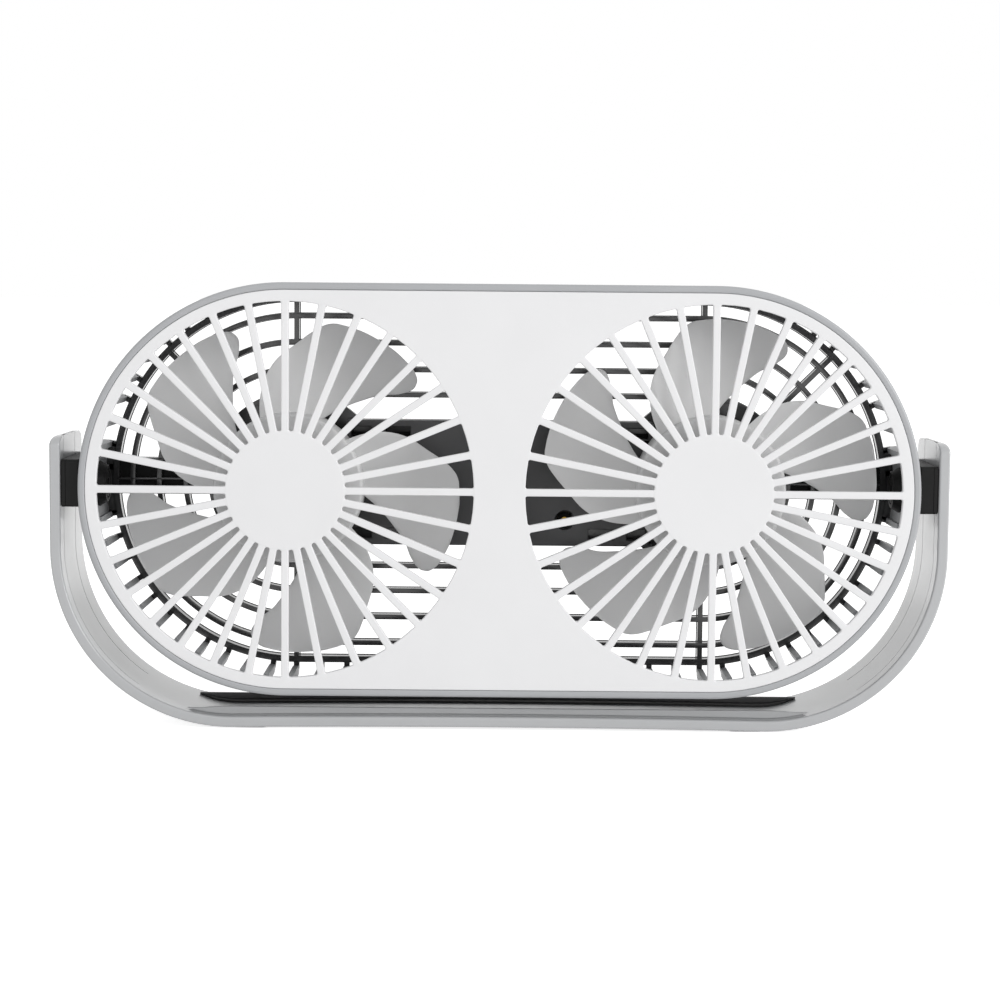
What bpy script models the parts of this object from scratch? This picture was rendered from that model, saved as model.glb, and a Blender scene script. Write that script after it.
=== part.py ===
"""Portable dual fan: two small fans in one flat head that tilts in a U-shaped stand.

Lengths are metres and +Z is up. The origin is on the floor under the middle of the
fan's box, +X runs to the right as the fan is seen from its front, and the front faces -Y.
The head hangs on two pivots in the arms, so its pieces are placed from an empty on
the pivot axis, and each impeller turns on an empty on its own axis.
"""

import math

import bmesh
import bpy
from mathutils import Matrix, Vector

# Fit between pieces and how far a cutter runs past what it cuts
FIT_GAP = 0.0003
OVERRUN = 0.0010
WELD = 0.000003

# Head outline, a slot shape: two half circles joined by straight runs
HEAD_RADIUS = 0.0645
FAN_SPREAD = 0.0022
HEAD_FRONT = 0.0220
HEAD_REAR = 0.0240
RIM_WALL = 0.00225

# Front grille
PANEL_THICKNESS = 0.0022
SLOT_COUNT = 32
SLOT_INNER = 0.0186
SLOT_MARGIN = 0.00325
SLOT_RIB = 0.0023
SLOT_CORNER = 0.0012

# Rear cover: a low rim, a rounded rear corner and the ribbed rear wall
COVER_WALL = 0.0020
COVER_PLATE = 0.0044
COVER_CORNER = 0.0060
COVER_RIM = 0.0003
CORNER_STEPS = 3
CORNER_DEPTH = 0.00505
GRILLE_BAR = 0.0017
OUTER_BAR = 0.0021
LOOP_SHARES = (0.4748, 0.6136, 0.7605, 0.9063)
SIDE_BAR_TOP = 0.0070
SIDE_BAR_BOTTOM = 0.0050
END_VENTS = 25
TOP_VENT_PITCH = 0.0086
VENT_RIB = 0.0018
VENT_REACH = 0.0132
PIVOT_CLEAR = 0.0130

# Spine pocket and what opens through its rear wall
SPINE_WALL = 0.0016
BUTTON_HEIGHT = 0.0060
BUTTON_RADIUS = 0.0050
BUTTON_PROUD = 0.0008
BUTTON_TRAVEL = 0.0004
BUTTON_FLANGE = 0.0010
FLANGE_THICKNESS = 0.0007
LENS_SPACE = 0.0035
LENS_RADIUS = 0.0012
INLET_DROP = 0.0135
INLET_WIDTH = 0.0090
INLET_HEIGHT = 0.0032
INLET_DEPTH = 0.0075
INLET_WALL = 0.0004
TONGUE_HEIGHT = 0.0007
TONGUE_WIDTH = 0.0060

# Centre housing, a shallow box over the electronics
HOUSING_END_GAP = 0.0024
HOUSING_WALL = 0.0016
HOUSING_VENT_HEIGHT = 0.0034
HOUSING_VENT_LENGTH = 0.0082
HOUSING_VENT_INSET = 0.0038
HOUSING_VENT_END = 0.0043
HOUSING_VENT_STEP = 0.0125
BOSS_CLEARANCE = 0.0019
BOSS_DROP = 0.0118
BOSS_RADIUS = 0.0044
RECESS_RADIUS = 0.0031
RECESS_DEPTH = 0.0030
SCREW_HOLE = 0.0013
SCREW_RADIUS = 0.0010
SCREW_HEAD_RADIUS = 0.0026
SCREW_HEAD = 0.0014
POST_HEIGHT = 0.0020
POST_HOLE_DEPTH = 0.0026

# Electronics in the spine
CELL_LENGTH = 0.0600
CELL_HEIGHT = 0.0200
CELL_THICKNESS = 0.0044
CELL_ROUNDING = 0.0012
CELL_CLEARANCE = 0.0010
BOARD_WIDTH = 0.0300
BOARD_THICKNESS = 0.0010
BOARD_OVER_LEAD = 0.0013
SWITCH_SIZE = 0.0060
SWITCH_THICKNESS = 0.0008
LEAD_RADIUS = 0.0005
LEAD_OVER_CELL = 0.0021
LEAD_SPACE = 0.0025
LEAD_STEPS = 3
LEAD_ENTRY = 0.0015

# Impellers
BLADE_COUNT = 5
TIP_CLEARANCE = 0.00805
HUB_RADIUS = 0.0228
HUB_WALL = 0.0016
HUB_REAR = 0.0040
HUB_CHAMFER = 0.0008
HUB_BOSS_RADIUS = 0.0032
HUB_BOSS_LENGTH = 0.0016
BLADE_THICKNESS = 0.0013
BLADE_MID = 0.0030
BLADE_RISE_PER_DEGREE = 0.0002
LEFT_PHASE = 1.0
RIGHT_PHASE = 22.5
BLADE_RADIUS_SHARES = (0.412, 0.546, 0.654, 0.746, 0.835, 0.911, 0.959, 0.990, 1.0)
BLADE_LEAD_DEGREES = (40.0, 34.6, 29.1, 22.8, 14.5, 9.0, 5.5, 1.5, -7.0)
BLADE_TRAIL_DEGREES = (-12.0, -20.7, -26.0, -28.6, -32.8, -34.6, -33.4, -29.5, -22.0)
BLADE_COLUMNS = 5

# Motors and their cradles
MOTOR_RADIUS = 0.0122
MOTOR_FRONT = 0.0070
MOTOR_BORE_DEPTH = 0.0120
SHAFT_RADIUS = 0.0010
SHAFT_CLEARANCE = 0.0003
CRADLE_WALL = 0.0018
CRADLE_DEPTH = 0.0106
BUSH_RADIUS = 0.0030
BUSH_LENGTH = 0.0012
MOTOR_SCREW_OFFSET = 0.0080
MOTOR_SCREW_HEAD_RADIUS = 0.0019
MOTOR_SCREW_SINK = 0.0018
MOTOR_SCREW_GRIP = 0.0020

# Pivots
PIVOT_GAP = 0.0059
BLOCK_INSET = 0.0005
BLOCK_HEIGHT = 0.0149
BLOCK_RISE = 0.00145
FRICTION_THICKNESS = 0.0010
NECK_RADIUS = 0.0042
NUT_RADIUS = 0.0072
NUT_LENGTH = 0.0030
PIVOT_SCREW_RADIUS = 0.0015
PIVOT_SCREW_HEAD_RADIUS = 0.0030
PIVOT_SCREW_LENGTH = 0.0100
CAP_RADIUS = 0.0060
CAP_THICKNESS = 0.0006
ARM_WEB = 0.0006

# Stand
SWING_CLEARANCE = 0.00298
STAND_HALF_DEPTH = 0.0190
ARM_RISE = 0.0161
ARM_CORNER_WIDTH = 0.0014
ARM_CORNER_HEIGHT = 0.0026
ARM_CORNER_SHARE = 0.3
BEND_RADIUS = 0.0564
STAND_THICKNESS = 0.0034
BASE_ARCH = 0.0006
BEND_STEPS = 14
ARCH_STEPS = 6
STRIP_THICKNESS = 0.0005
STRIP_FRONT = 0.0125
STRIP_REAR = 0.0065
STRIP_END_DEGREES = 56.0
LIP_HEIGHT = 0.0030
LIP_SETBACK = 0.0016
LIP_THICKNESS = 0.0014
STOP_RISE = 0.0024
STOP_PLACE = 0.0110
STOP_THICKNESS = 0.0014
STOP_FLANGE = 0.0055
STOP_FLANGE_THICKNESS = 0.0006
STOP_REACH = 0.0129
PAD_LENGTH = 0.0110
PAD_INSET = 0.0001
PAD_MARGIN = 0.0025
PAD_PROUD = 0.0004
PAD_SINK = 0.0006

SMOOTH_ANGLE = math.radians(35.0)
ROUND_STEPS = 28
SMALL_STEPS = 12
WIRE_SIDES = 2

# Places worked out from the sizes above: head and grilles
OUTLINE_STEPS = END_VENTS
FAN_OFFSET = HEAD_RADIUS + FAN_SPREAD
HEAD_END = FAN_OFFSET + HEAD_RADIUS
PANEL_RADIUS = HEAD_RADIUS - RIM_WALL - FIT_GAP
SLOT_OUTER = PANEL_RADIUS - SLOT_MARGIN
TIP_RADIUS = HEAD_RADIUS - RIM_WALL - TIP_CLEARANCE
GRILLE_RADIUS = HEAD_RADIUS - CORNER_DEPTH
FRAME_REAR = HEAD_REAR - COVER_CORNER - COVER_RIM - FIT_GAP
VENT_FRONT = FRAME_REAR - VENT_REACH
PLATE_FRONT = HEAD_REAR - COVER_PLATE
POCKET_REAR = HEAD_REAR - SPINE_WALL

# The stack in the spine, from the rear wall forward
BUTTON_REST = POCKET_REAR - FIT_GAP - FLANGE_THICKNESS
SWITCH_FRONT = BUTTON_REST - BUTTON_TRAVEL - FIT_GAP - SWITCH_THICKNESS
BOARD_FRONT = SWITCH_FRONT - FIT_GAP - BOARD_THICKNESS
CELL_FRONT = BOARD_FRONT - FIT_GAP - CELL_THICKNESS
HOUSING_FRONT = CELL_FRONT - FIT_GAP - HOUSING_WALL
HOUSING_REAR = PLATE_FRONT - FIT_GAP
POST_FRONT = POCKET_REAR - POST_HEIGHT

# The spine's layout, from its bosses upward and from the motors inward
BOSS_OFFSET = BOARD_WIDTH / 2 + BOSS_RADIUS + BOSS_CLEARANCE
CELL_RISE = BOSS_RADIUS - BOSS_DROP + CELL_CLEARANCE + CELL_HEIGHT / 2
LEAD_HEIGHT = CELL_RISE + CELL_HEIGHT / 2 + LEAD_OVER_CELL
BOARD_TOP = LEAD_HEIGHT + BOARD_OVER_LEAD
SPINE_HALF = LEAD_HEIGHT + LEAD_RADIUS + LEAD_SPACE + HOUSING_WALL
LENS_HEIGHT = BUTTON_HEIGHT + BUTTON_RADIUS + LENS_SPACE
CRADLE_INNER = MOTOR_RADIUS + FIT_GAP
CRADLE_OUTER = CRADLE_INNER + CRADLE_WALL
CRADLE_FRONT = PLATE_FRONT - CRADLE_DEPTH
HOUSING_HALF_LENGTH = FAN_OFFSET - CRADLE_OUTER - HOUSING_END_GAP

# Drive
MOTOR_REAR = PLATE_FRONT - FIT_GAP
BUSH_FRONT = -MOTOR_FRONT - FIT_GAP - BUSH_LENGTH
HUB_FRONT = FIT_GAP + HUB_BOSS_LENGTH + HUB_WALL - BUSH_FRONT

# Stand
PIVOT_FACE = HEAD_END + PIVOT_GAP
STAND_HALF_WIDTH = PIVOT_FACE + STAND_THICKNESS
STRIP_SEAT = STRIP_THICKNESS + FIT_GAP
PIVOT_SCREW_HEAD = STAND_THICKNESS - STRIP_SEAT - ARM_WEB - CAP_THICKNESS - 2 * FIT_GAP
BASE_BOTTOM = PAD_PROUD
BASE_TOP = BASE_BOTTOM + STAND_THICKNESS
BEND_CENTRE_X = STAND_HALF_WIDTH - BEND_RADIUS
BEND_CENTRE_Z = BASE_BOTTOM + BEND_RADIUS
INNER_BEND = BEND_RADIUS - STAND_THICKNESS
PIVOT_HEIGHT = BASE_TOP + math.hypot(HEAD_RADIUS, max(HEAD_FRONT, HEAD_REAR)) + SWING_CLEARANCE
STOP_HALF_LENGTH = BEND_CENTRE_X + STOP_REACH
PAD_PLACE = BEND_CENTRE_X - PAD_LENGTH / 2 - PAD_INSET
PAD_WIDTH = 2 * (STAND_HALF_DEPTH - PAD_MARGIN)
MIDDLE_SHIFT = (HEAD_FRONT - HEAD_REAR - BUTTON_PROUD) / 2


def clear_scene():
    """Take away what the file opened with."""
    for item in list(bpy.data.objects):
        bpy.data.objects.remove(item, do_unlink=True)


def make_collection(name):
    """A collection linked under the scene."""
    group = bpy.data.collections.new(name)
    bpy.context.scene.collection.children.link(group)
    return group


def make_material(name, colour, roughness, metallic=0.0):
    """A plain surface of one colour."""
    surface = bpy.data.materials.new(name)
    surface.use_nodes = True
    shader = surface.node_tree.nodes["Principled BSDF"]
    shader.inputs["Base Color"].default_value = (*colour, 1.0)
    shader.inputs["Roughness"].default_value = roughness
    shader.inputs["Metallic"].default_value = metallic
    return surface


def make_empty(name, place, parent=None):
    """An empty that other pieces are placed from."""
    item = bpy.data.objects.new(name, None)
    item.empty_display_size = BEND_RADIUS
    item.location = place
    item.parent = parent
    PARTS.objects.link(item)
    return item


def finish_mesh(mesh, name):
    """Weld a mesh, turn its faces outward and shade its round faces smooth."""
    work = bmesh.new()
    work.from_mesh(mesh)
    bmesh.ops.remove_doubles(work, verts=work.verts, dist=WELD)
    bmesh.ops.recalc_face_normals(work, faces=work.faces)
    work.to_mesh(mesh)
    work.free()
    mesh.name = name
    mesh.shade_smooth()
    mesh.set_sharp_from_angle(angle=SMOOTH_ANGLE)
    return mesh


def make_piece(name, mesh, surface, parent, place=(0, 0, 0)):
    """A finished sub-part."""
    item = bpy.data.objects.new(name, finish_mesh(mesh, name))
    item.data.materials.clear()
    item.data.materials.append(surface)
    item.parent = parent
    item.location = place
    PARTS.objects.link(item)
    return item


def make_tool(name, mesh, parent, place=(0, 0, 0)):
    """A shape that only cuts or joins another."""
    item = bpy.data.objects.new(name, finish_mesh(mesh, name))
    item.hide_render = True
    item.display_type = "WIRE"
    item.parent = parent
    item.location = place
    TOOLS.objects.link(item)
    return item


def combine(item, tool, operation):
    """Cut a tool from a piece, or join it on."""
    step = item.modifiers.new(tool.name, "BOOLEAN")
    step.operation = operation
    step.solver = "EXACT"
    step.object = tool


def baked(item):
    """The evaluated mesh of a helper object, which is then removed."""
    bpy.context.view_layer.update()
    graph = bpy.context.evaluated_depsgraph_get()
    mesh = bpy.data.meshes.new_from_object(item.evaluated_get(graph))
    mesh.transform(item.matrix_world)
    bpy.data.objects.remove(item, do_unlink=True)
    return mesh


def joined(meshes):
    """Several meshes in one, as separate bodies."""
    work = bmesh.new()
    for mesh in meshes:
        work.from_mesh(mesh)
    whole = bpy.data.meshes.new("joined")
    work.to_mesh(whole)
    work.free()
    return whole


def slab(loops, front, rear):
    """Flat outlines in X and Z, holes included, made solid from front to rear along Y."""
    curve = bpy.data.curves.new("outline", "CURVE")
    curve.dimensions = "2D"
    curve.fill_mode = "BOTH"
    curve.extrude = (rear - front) / 2
    for loop in loops:
        spline = curve.splines.new("POLY")
        spline.points.add(len(loop) - 1)
        for point, (x, z) in zip(spline.points, loop):
            point.co = (x, z, 0, 1)
        spline.use_cyclic_u = True
    item = bpy.data.objects.new("outline", curve)
    item.rotation_euler = (math.pi / 2, 0, 0)
    item.location = (0, (front + rear) / 2, 0)
    TOOLS.objects.link(item)
    return baked(item)


def box(size, centre):
    """A box from a unit cube."""
    work = bmesh.new()
    bmesh.ops.create_cube(work, size=1.0)
    matrix = Matrix.Translation(centre) @ Matrix.Diagonal((*size, 1))
    bmesh.ops.transform(work, verts=work.verts, matrix=matrix)
    mesh = bpy.data.meshes.new("box")
    work.to_mesh(mesh)
    work.free()
    return mesh


def rod(radius, start, end, axis, centre=(0, 0), steps=SMALL_STEPS):
    """A cylinder from start to end along X or Y, centred in the other two axes."""
    work = bmesh.new()
    sizes = {"radius1": radius, "radius2": radius, "depth": end - start}
    bmesh.ops.create_cone(work, cap_ends=True, segments=steps, **sizes)
    middle = (start + end) / 2
    if axis == "X":
        turn = Matrix.Rotation(math.pi / 2, 4, "Y")
        place = Vector((middle, *centre))
    else:
        turn = Matrix.Rotation(-math.pi / 2, 4, "X")
        place = Vector((centre[0], middle, centre[1]))
    bmesh.ops.transform(work, verts=work.verts, matrix=Matrix.Translation(place) @ turn)
    mesh = bpy.data.meshes.new("rod")
    work.to_mesh(mesh)
    work.free()
    return mesh


def turned(profile, steps, closed):
    """A profile of (radius, y) points swept once round the Y axis."""
    mesh = bpy.data.meshes.new("profile")
    count = len(profile)
    edges = [(i, i + 1) for i in range(count - 1)]
    if closed:
        edges.append((count - 1, 0))
    mesh.from_pydata([(radius, y, 0) for radius, y in profile], edges, [])
    item = bpy.data.objects.new("profile", mesh)
    TOOLS.objects.link(item)
    sweep = item.modifiers.new("sweep", "SCREW")
    sweep.axis = "Y"
    sweep.steps = steps
    sweep.render_steps = steps
    sweep.use_merge_vertices = True
    sweep.merge_threshold = WELD
    return baked(item)


def ring(inner, outer, front, rear, steps=ROUND_STEPS):
    """A plain ring round the Y axis."""
    return turned([(inner, front), (outer, front), (outer, rear), (inner, rear)], steps, True)


def slid(mesh, place):
    """The same mesh moved to a place."""
    mesh.transform(Matrix.Translation(place))
    return mesh


def arc(centre, radius, start, end, steps):
    """Points on a circle in X and Z, both ends included."""
    points = []
    for i in range(steps + 1):
        angle = start + (end - start) * i / steps
        points.append((centre[0] + radius * math.cos(angle), centre[1] + radius * math.sin(angle)))
    return points


def stadium(radius):
    """The head's outline at a radius about the two fan axes."""
    right = arc((FAN_OFFSET, 0), radius, -math.pi / 2, math.pi / 2, OUTLINE_STEPS)
    left = arc((-FAN_OFFSET, 0), radius, math.pi / 2, 3 * math.pi / 2, OUTLINE_STEPS)
    return right + left


def mirrored(loop):
    """An outline flipped to the other side of the head."""
    return [(-x, z) for x, z in reversed(loop)]


def sector(centre, inner, outer, start, end, start_half, end_half, steps):
    """A ring sector whose two ends run parallel to bars of the given half widths."""
    low = (start + math.asin(start_half / inner), end - math.asin(end_half / inner))
    high = (start + math.asin(start_half / outer), end - math.asin(end_half / outer))
    inward = arc(centre, inner, low[0], low[1], steps)
    outward = arc(centre, outer, high[0], high[1], steps)
    return outward + inward[::-1]


def grille_slot(centre, start, end):
    """One wedge slot between two ribs, with its outer corners cut."""
    half = SLOT_RIB / 2
    shoulder = SLOT_OUTER - SLOT_CORNER
    points = []
    for radius, inset in ((SLOT_INNER, 0), (shoulder, 0), (SLOT_OUTER, SLOT_CORNER)):
        offset = math.asin(half / radius) + inset / radius
        points.append((start + offset, radius))
    points.append(((start + end) / 2, SLOT_OUTER))
    for radius, inset in ((SLOT_OUTER, SLOT_CORNER), (shoulder, 0), (SLOT_INNER, 0)):
        offset = math.asin(half / radius) + inset / radius
        points.append((end - offset, radius))
    return [(centre[0] + r * math.cos(a), centre[1] + r * math.sin(a)) for a, r in points]


def make_front_grille():
    """The pale panel with two rings of radial slots."""
    loops = [stadium(PANEL_RADIUS)]
    pitch = 2 * math.pi / SLOT_COUNT
    for side in (-1, 1):
        for i in range(SLOT_COUNT):
            loops.append(grille_slot((side * FAN_OFFSET, 0), i * pitch, (i + 1) * pitch))
    mesh = slab(loops, -HEAD_FRONT, PANEL_THICKNESS - HEAD_FRONT)
    make_piece("front_grille", mesh, PALE, HEAD)


def make_housing_frame():
    """The grey band round the head, with a hole for each pivot neck and open vents at its rear."""
    mesh = slab([stadium(HEAD_RADIUS), stadium(HEAD_RADIUS - RIM_WALL)], -HEAD_FRONT, FRAME_REAR)
    frame = make_piece("housing_frame", mesh, SILVER, HEAD)
    start = HEAD_END - RIM_WALL - OVERRUN
    necks = [cross_rod(side, NECK_RADIUS + FIT_GAP, start, HEAD_END + OVERRUN) for side in (-1, 1)]
    combine(frame, make_tool("neck_holes", joined(necks), HEAD), "DIFFERENCE")
    vents = slab(corner_vents(), VENT_FRONT, FRAME_REAR + OVERRUN)
    combine(frame, make_tool("frame_vents", vents, HEAD), "DIFFERENCE")


def cover_shell():
    """The rear cup: a low rim, a rounded rear corner and a flat rear wall."""
    inner = HEAD_RADIUS - COVER_WALL
    front = FRAME_REAR + FIT_GAP
    stations = [(inner, PLATE_FRONT), (inner, front), (HEAD_RADIUS, front)]
    for i in range(CORNER_STEPS + 1):
        angle = math.pi / 2 * i / CORNER_STEPS
        radius = HEAD_RADIUS - COVER_CORNER * (1 - math.cos(angle))
        stations.append((radius, HEAD_REAR - COVER_CORNER * (1 - math.sin(angle))))
    work = bmesh.new()
    rows = []
    for radius, y in stations:
        rows.append([work.verts.new((x, y, z)) for x, z in stadium(radius)])
    count = len(rows[0])
    for low, high in zip(rows, rows[1:]):
        for i in range(count):
            after = (i + 1) % count
            work.faces.new((low[i], low[after], high[after], high[i]))
    work.faces.new(rows[0])
    work.faces.new(rows[-1])
    mesh = bpy.data.meshes.new("cover")
    work.to_mesh(mesh)
    work.free()
    return mesh


def grille_bands():
    """The inner and outer edge of each gap between the rear loops."""
    edges = []
    radii = [share * GRILLE_RADIUS for share in LOOP_SHARES]
    for here, after in zip(radii, radii[1:]):
        edges.append((here + GRILLE_BAR / 2, after - GRILLE_BAR / 2))
    edges.append((radii[-1] + GRILLE_BAR / 2, GRILLE_RADIUS - OUTER_BAR / 2))
    return edges


def span_gap(left, right, low, high):
    """A rectangle in X and Z."""
    return [(left, low), (right, low), (right, high), (left, high)]


def rear_gaps():
    """Outlines of the gaps in the rear wall."""
    half = GRILLE_BAR / 2
    quarter = math.pi / 4
    centre = (-FAN_OFFSET, 0)
    turns = (
        (2 * quarter, 3 * quarter, half, half),
        (3 * quarter, 4 * quarter, half, SIDE_BAR_TOP),
        (4 * quarter, 5 * quarter, SIDE_BAR_BOTTOM, half),
        (5 * quarter, 6 * quarter, half, half),
    )
    loops = []
    for inner, outer in grille_bands():
        for start, end, first, last in turns:
            loop = sector(centre, inner, outer, start, end, first, last, 4)
            loops += [loop, mirrored(loop)]
    for inner, outer in grille_bands():
        for side in (-1, 1):
            loop = span_gap(half - FAN_OFFSET, -half, side * inner, side * outer)
            loops += [loop, mirrored(loop)]
    disc = LOOP_SHARES[0] * GRILLE_RADIUS + half
    low = math.asin(SPINE_HALF / disc)
    high = math.asin((disc - GRILLE_BAR) / disc)
    for side in (-1, 1):
        loop = arc(centre, disc, side * low, side * high, 4)
        loop += [(-half, side * (disc - GRILLE_BAR)), (-half, side * SPINE_HALF)]
        loops += [loop, mirrored(loop)]
    return loops


def corner_vents():
    """Outlines of the openings that wrap round the rear corner."""
    inner = GRILLE_RADIUS + OUTER_BAR / 2
    outer = HEAD_RADIUS + OVERRUN
    half = VENT_RIB / 2
    loops = []
    step = math.pi / END_VENTS
    for i in range(END_VENTS):
        start = math.pi / 2 + i * step
        if abs(math.sin(start + step / 2)) * HEAD_RADIUS > PIVOT_CLEAR:
            loop = sector((-FAN_OFFSET, 0), inner, outer, start, start + step, half, half, 1)
            loops += [loop, mirrored(loop)]
    count = round(2 * FAN_OFFSET / TOP_VENT_PITCH)
    step = 2 * FAN_OFFSET / count
    for i in range(count):
        left = -FAN_OFFSET + i * step + half
        right = left + step - VENT_RIB
        for side in (-1, 1):
            loops.append(span_gap(left, right, side * inner, side * outer))
    return loops


def make_rear_cover():
    """The dark rear shell with its loops, vents, motor cradles and spine pocket."""
    cover = make_piece("rear_cover", cover_shell(), DARK, HEAD)
    gaps = slab(rear_gaps(), PLATE_FRONT - OVERRUN, HEAD_REAR + OVERRUN)
    vents = slab(corner_vents(), FRAME_REAR, HEAD_REAR + OVERRUN)
    combine(cover, make_tool("rear_gaps", gaps, HEAD), "DIFFERENCE")
    combine(cover, make_tool("corner_vents", vents, HEAD), "DIFFERENCE")
    length = 2 * (HOUSING_HALF_LENGTH - HOUSING_WALL)
    height = 2 * (SPINE_HALF - HOUSING_WALL)
    front = PLATE_FRONT - OVERRUN
    middle = (front + POCKET_REAR) / 2
    pocket = box((length, POCKET_REAR - front, height), (0, middle, 0))
    combine(cover, make_tool("spine_pocket", pocket, HEAD), "DIFFERENCE")
    added = []
    for side in (-1, 1):
        cradle = ring(CRADLE_INNER, CRADLE_OUTER, CRADLE_FRONT, POCKET_REAR + FIT_GAP)
        added.append(slid(cradle, (side * FAN_OFFSET, 0, 0)))
        place = (side * BOSS_OFFSET, -BOSS_DROP)
        added.append(rod(BOSS_RADIUS, POST_FRONT, POCKET_REAR + FIT_GAP, "Y", place))
    combine(cover, make_tool("cradles", joined(added), HEAD), "UNION")
    front = POCKET_REAR - OVERRUN / 2
    rear = HEAD_REAR + OVERRUN
    holes = [
        rod(BUTTON_RADIUS + FIT_GAP, front, rear, "Y", (0, BUTTON_HEIGHT), ROUND_STEPS),
        rod(LENS_RADIUS + FIT_GAP, front, rear, "Y", (0, LENS_HEIGHT)),
        inlet_block(INLET_WIDTH + 2 * FIT_GAP, INLET_HEIGHT + 2 * FIT_GAP, front, rear),
    ]
    for side in (-1, 1):
        place = (side * BOSS_OFFSET, -BOSS_DROP)
        holes.append(rod(SCREW_HOLE, POST_FRONT - OVERRUN, POST_FRONT + POST_HOLE_DEPTH, "Y", place))
        for turn in (-1, 1):
            place = (side * FAN_OFFSET + turn * MOTOR_SCREW_OFFSET, 0)
            holes.append(motor_screw_hole(place))
    combine(cover, make_tool("cover_holes", joined(holes), HEAD), "DIFFERENCE")


def motor_screw_hole(place):
    """A through hole with a sunk seat for the head, from the rear."""
    seat = HEAD_REAR - MOTOR_SCREW_SINK
    wide = MOTOR_SCREW_HEAD_RADIUS + FIT_GAP
    profile = [
        (0, PLATE_FRONT - OVERRUN),
        (SCREW_HOLE, PLATE_FRONT - OVERRUN),
        (SCREW_HOLE, seat),
        (wide, seat),
        (wide, HEAD_REAR + OVERRUN),
        (0, HEAD_REAR + OVERRUN),
    ]
    return slid(turned(profile, SMALL_STEPS, False), (place[0], 0, place[1]))


def inlet_block(width, height, front, rear):
    """A flat slot shape with half round ends, at the power inlet."""
    end = width / 2 - height / 2
    right = arc((end, -INLET_DROP), height / 2, -math.pi / 2, math.pi / 2, 6)
    left = arc((-end, -INLET_DROP), height / 2, math.pi / 2, 3 * math.pi / 2, 6)
    return slab([right + left], front, rear)


def make_centre_housing():
    """The box over the electronics, with vents and two screw bosses."""
    length = 2 * HOUSING_HALF_LENGTH
    depth = HOUSING_REAR - HOUSING_FRONT
    middle = (HOUSING_FRONT + HOUSING_REAR) / 2
    mesh = box((length, depth, 2 * SPINE_HALF), (0, middle, 0))
    housing = make_piece("centre_housing", mesh, DARK, HEAD)
    wall = 2 * HOUSING_WALL
    hollow = box((length - wall, depth, 2 * SPINE_HALF - wall), (0, middle + HOUSING_WALL, 0))
    combine(housing, make_tool("housing_hollow", hollow, HEAD), "DIFFERENCE")
    bosses = []
    holes = []
    for side in (-1, 1):
        place = (side * BOSS_OFFSET, -BOSS_DROP)
        recess = HOUSING_FRONT + RECESS_DEPTH
        bosses.append(rod(BOSS_RADIUS, HOUSING_FRONT + HOUSING_WALL / 2, POST_FRONT - FIT_GAP, "Y", place))
        holes.append(rod(SCREW_HOLE, recess - OVERRUN, POST_FRONT + OVERRUN, "Y", place))
        holes.append(rod(RECESS_RADIUS, HOUSING_FRONT - OVERRUN, recess, "Y", place, ROUND_STEPS))
    combine(housing, make_tool("housing_bosses", joined(bosses), HEAD), "UNION")
    for i, mesh in enumerate(holes):
        combine(housing, make_tool(f"housing_hole_{i + 1}", mesh, HEAD), "DIFFERENCE")
    entries = []
    for side in (-1, 1):
        inside = HOUSING_HALF_LENGTH - HOUSING_WALL - OVERRUN
        low, high = sorted((side * inside, side * (HOUSING_HALF_LENGTH + OVERRUN)))
        place = (CELL_FRONT + CELL_THICKNESS / 2, LEAD_HEIGHT)
        entries.append(rod(LEAD_ENTRY, low, high, "X", place))
    combine(housing, make_tool("lead_entries", joined(entries), HEAD), "DIFFERENCE")
    vents = []
    height = SPINE_HALF - HOUSING_VENT_INSET
    for side in (-1, 1):
        for rise in (-1, 1):
            for shift in (0, HOUSING_VENT_STEP):
                x = side * (HOUSING_HALF_LENGTH - HOUSING_VENT_END - shift)
                size = (HOUSING_VENT_LENGTH, HOUSING_WALL + 2 * OVERRUN, HOUSING_VENT_HEIGHT)
                vents.append(box(size, (x, HOUSING_FRONT + HOUSING_WALL / 2, rise * height)))
    combine(housing, make_tool("housing_vents", joined(vents), HEAD), "DIFFERENCE")


def make_screw(name, place, seat, tip, head_radius):
    """A round-headed screw along Y, its head in front of the seat or behind it."""
    toward = 1 if tip > seat else -1
    head = seat - toward * SCREW_HEAD
    slot = seat - toward * SCREW_HEAD / 2
    slot_radius = SCREW_RADIUS
    profile = [(0, slot), (slot_radius, slot), (slot_radius, head), (head_radius, head), (head_radius, seat)]
    profile += [(SCREW_RADIUS, seat), (SCREW_RADIUS, tip), (0, tip)]
    make_piece(name, slid(turned(profile, SMALL_STEPS, False), (place[0], 0, place[1])), BRASS, HEAD)


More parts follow.
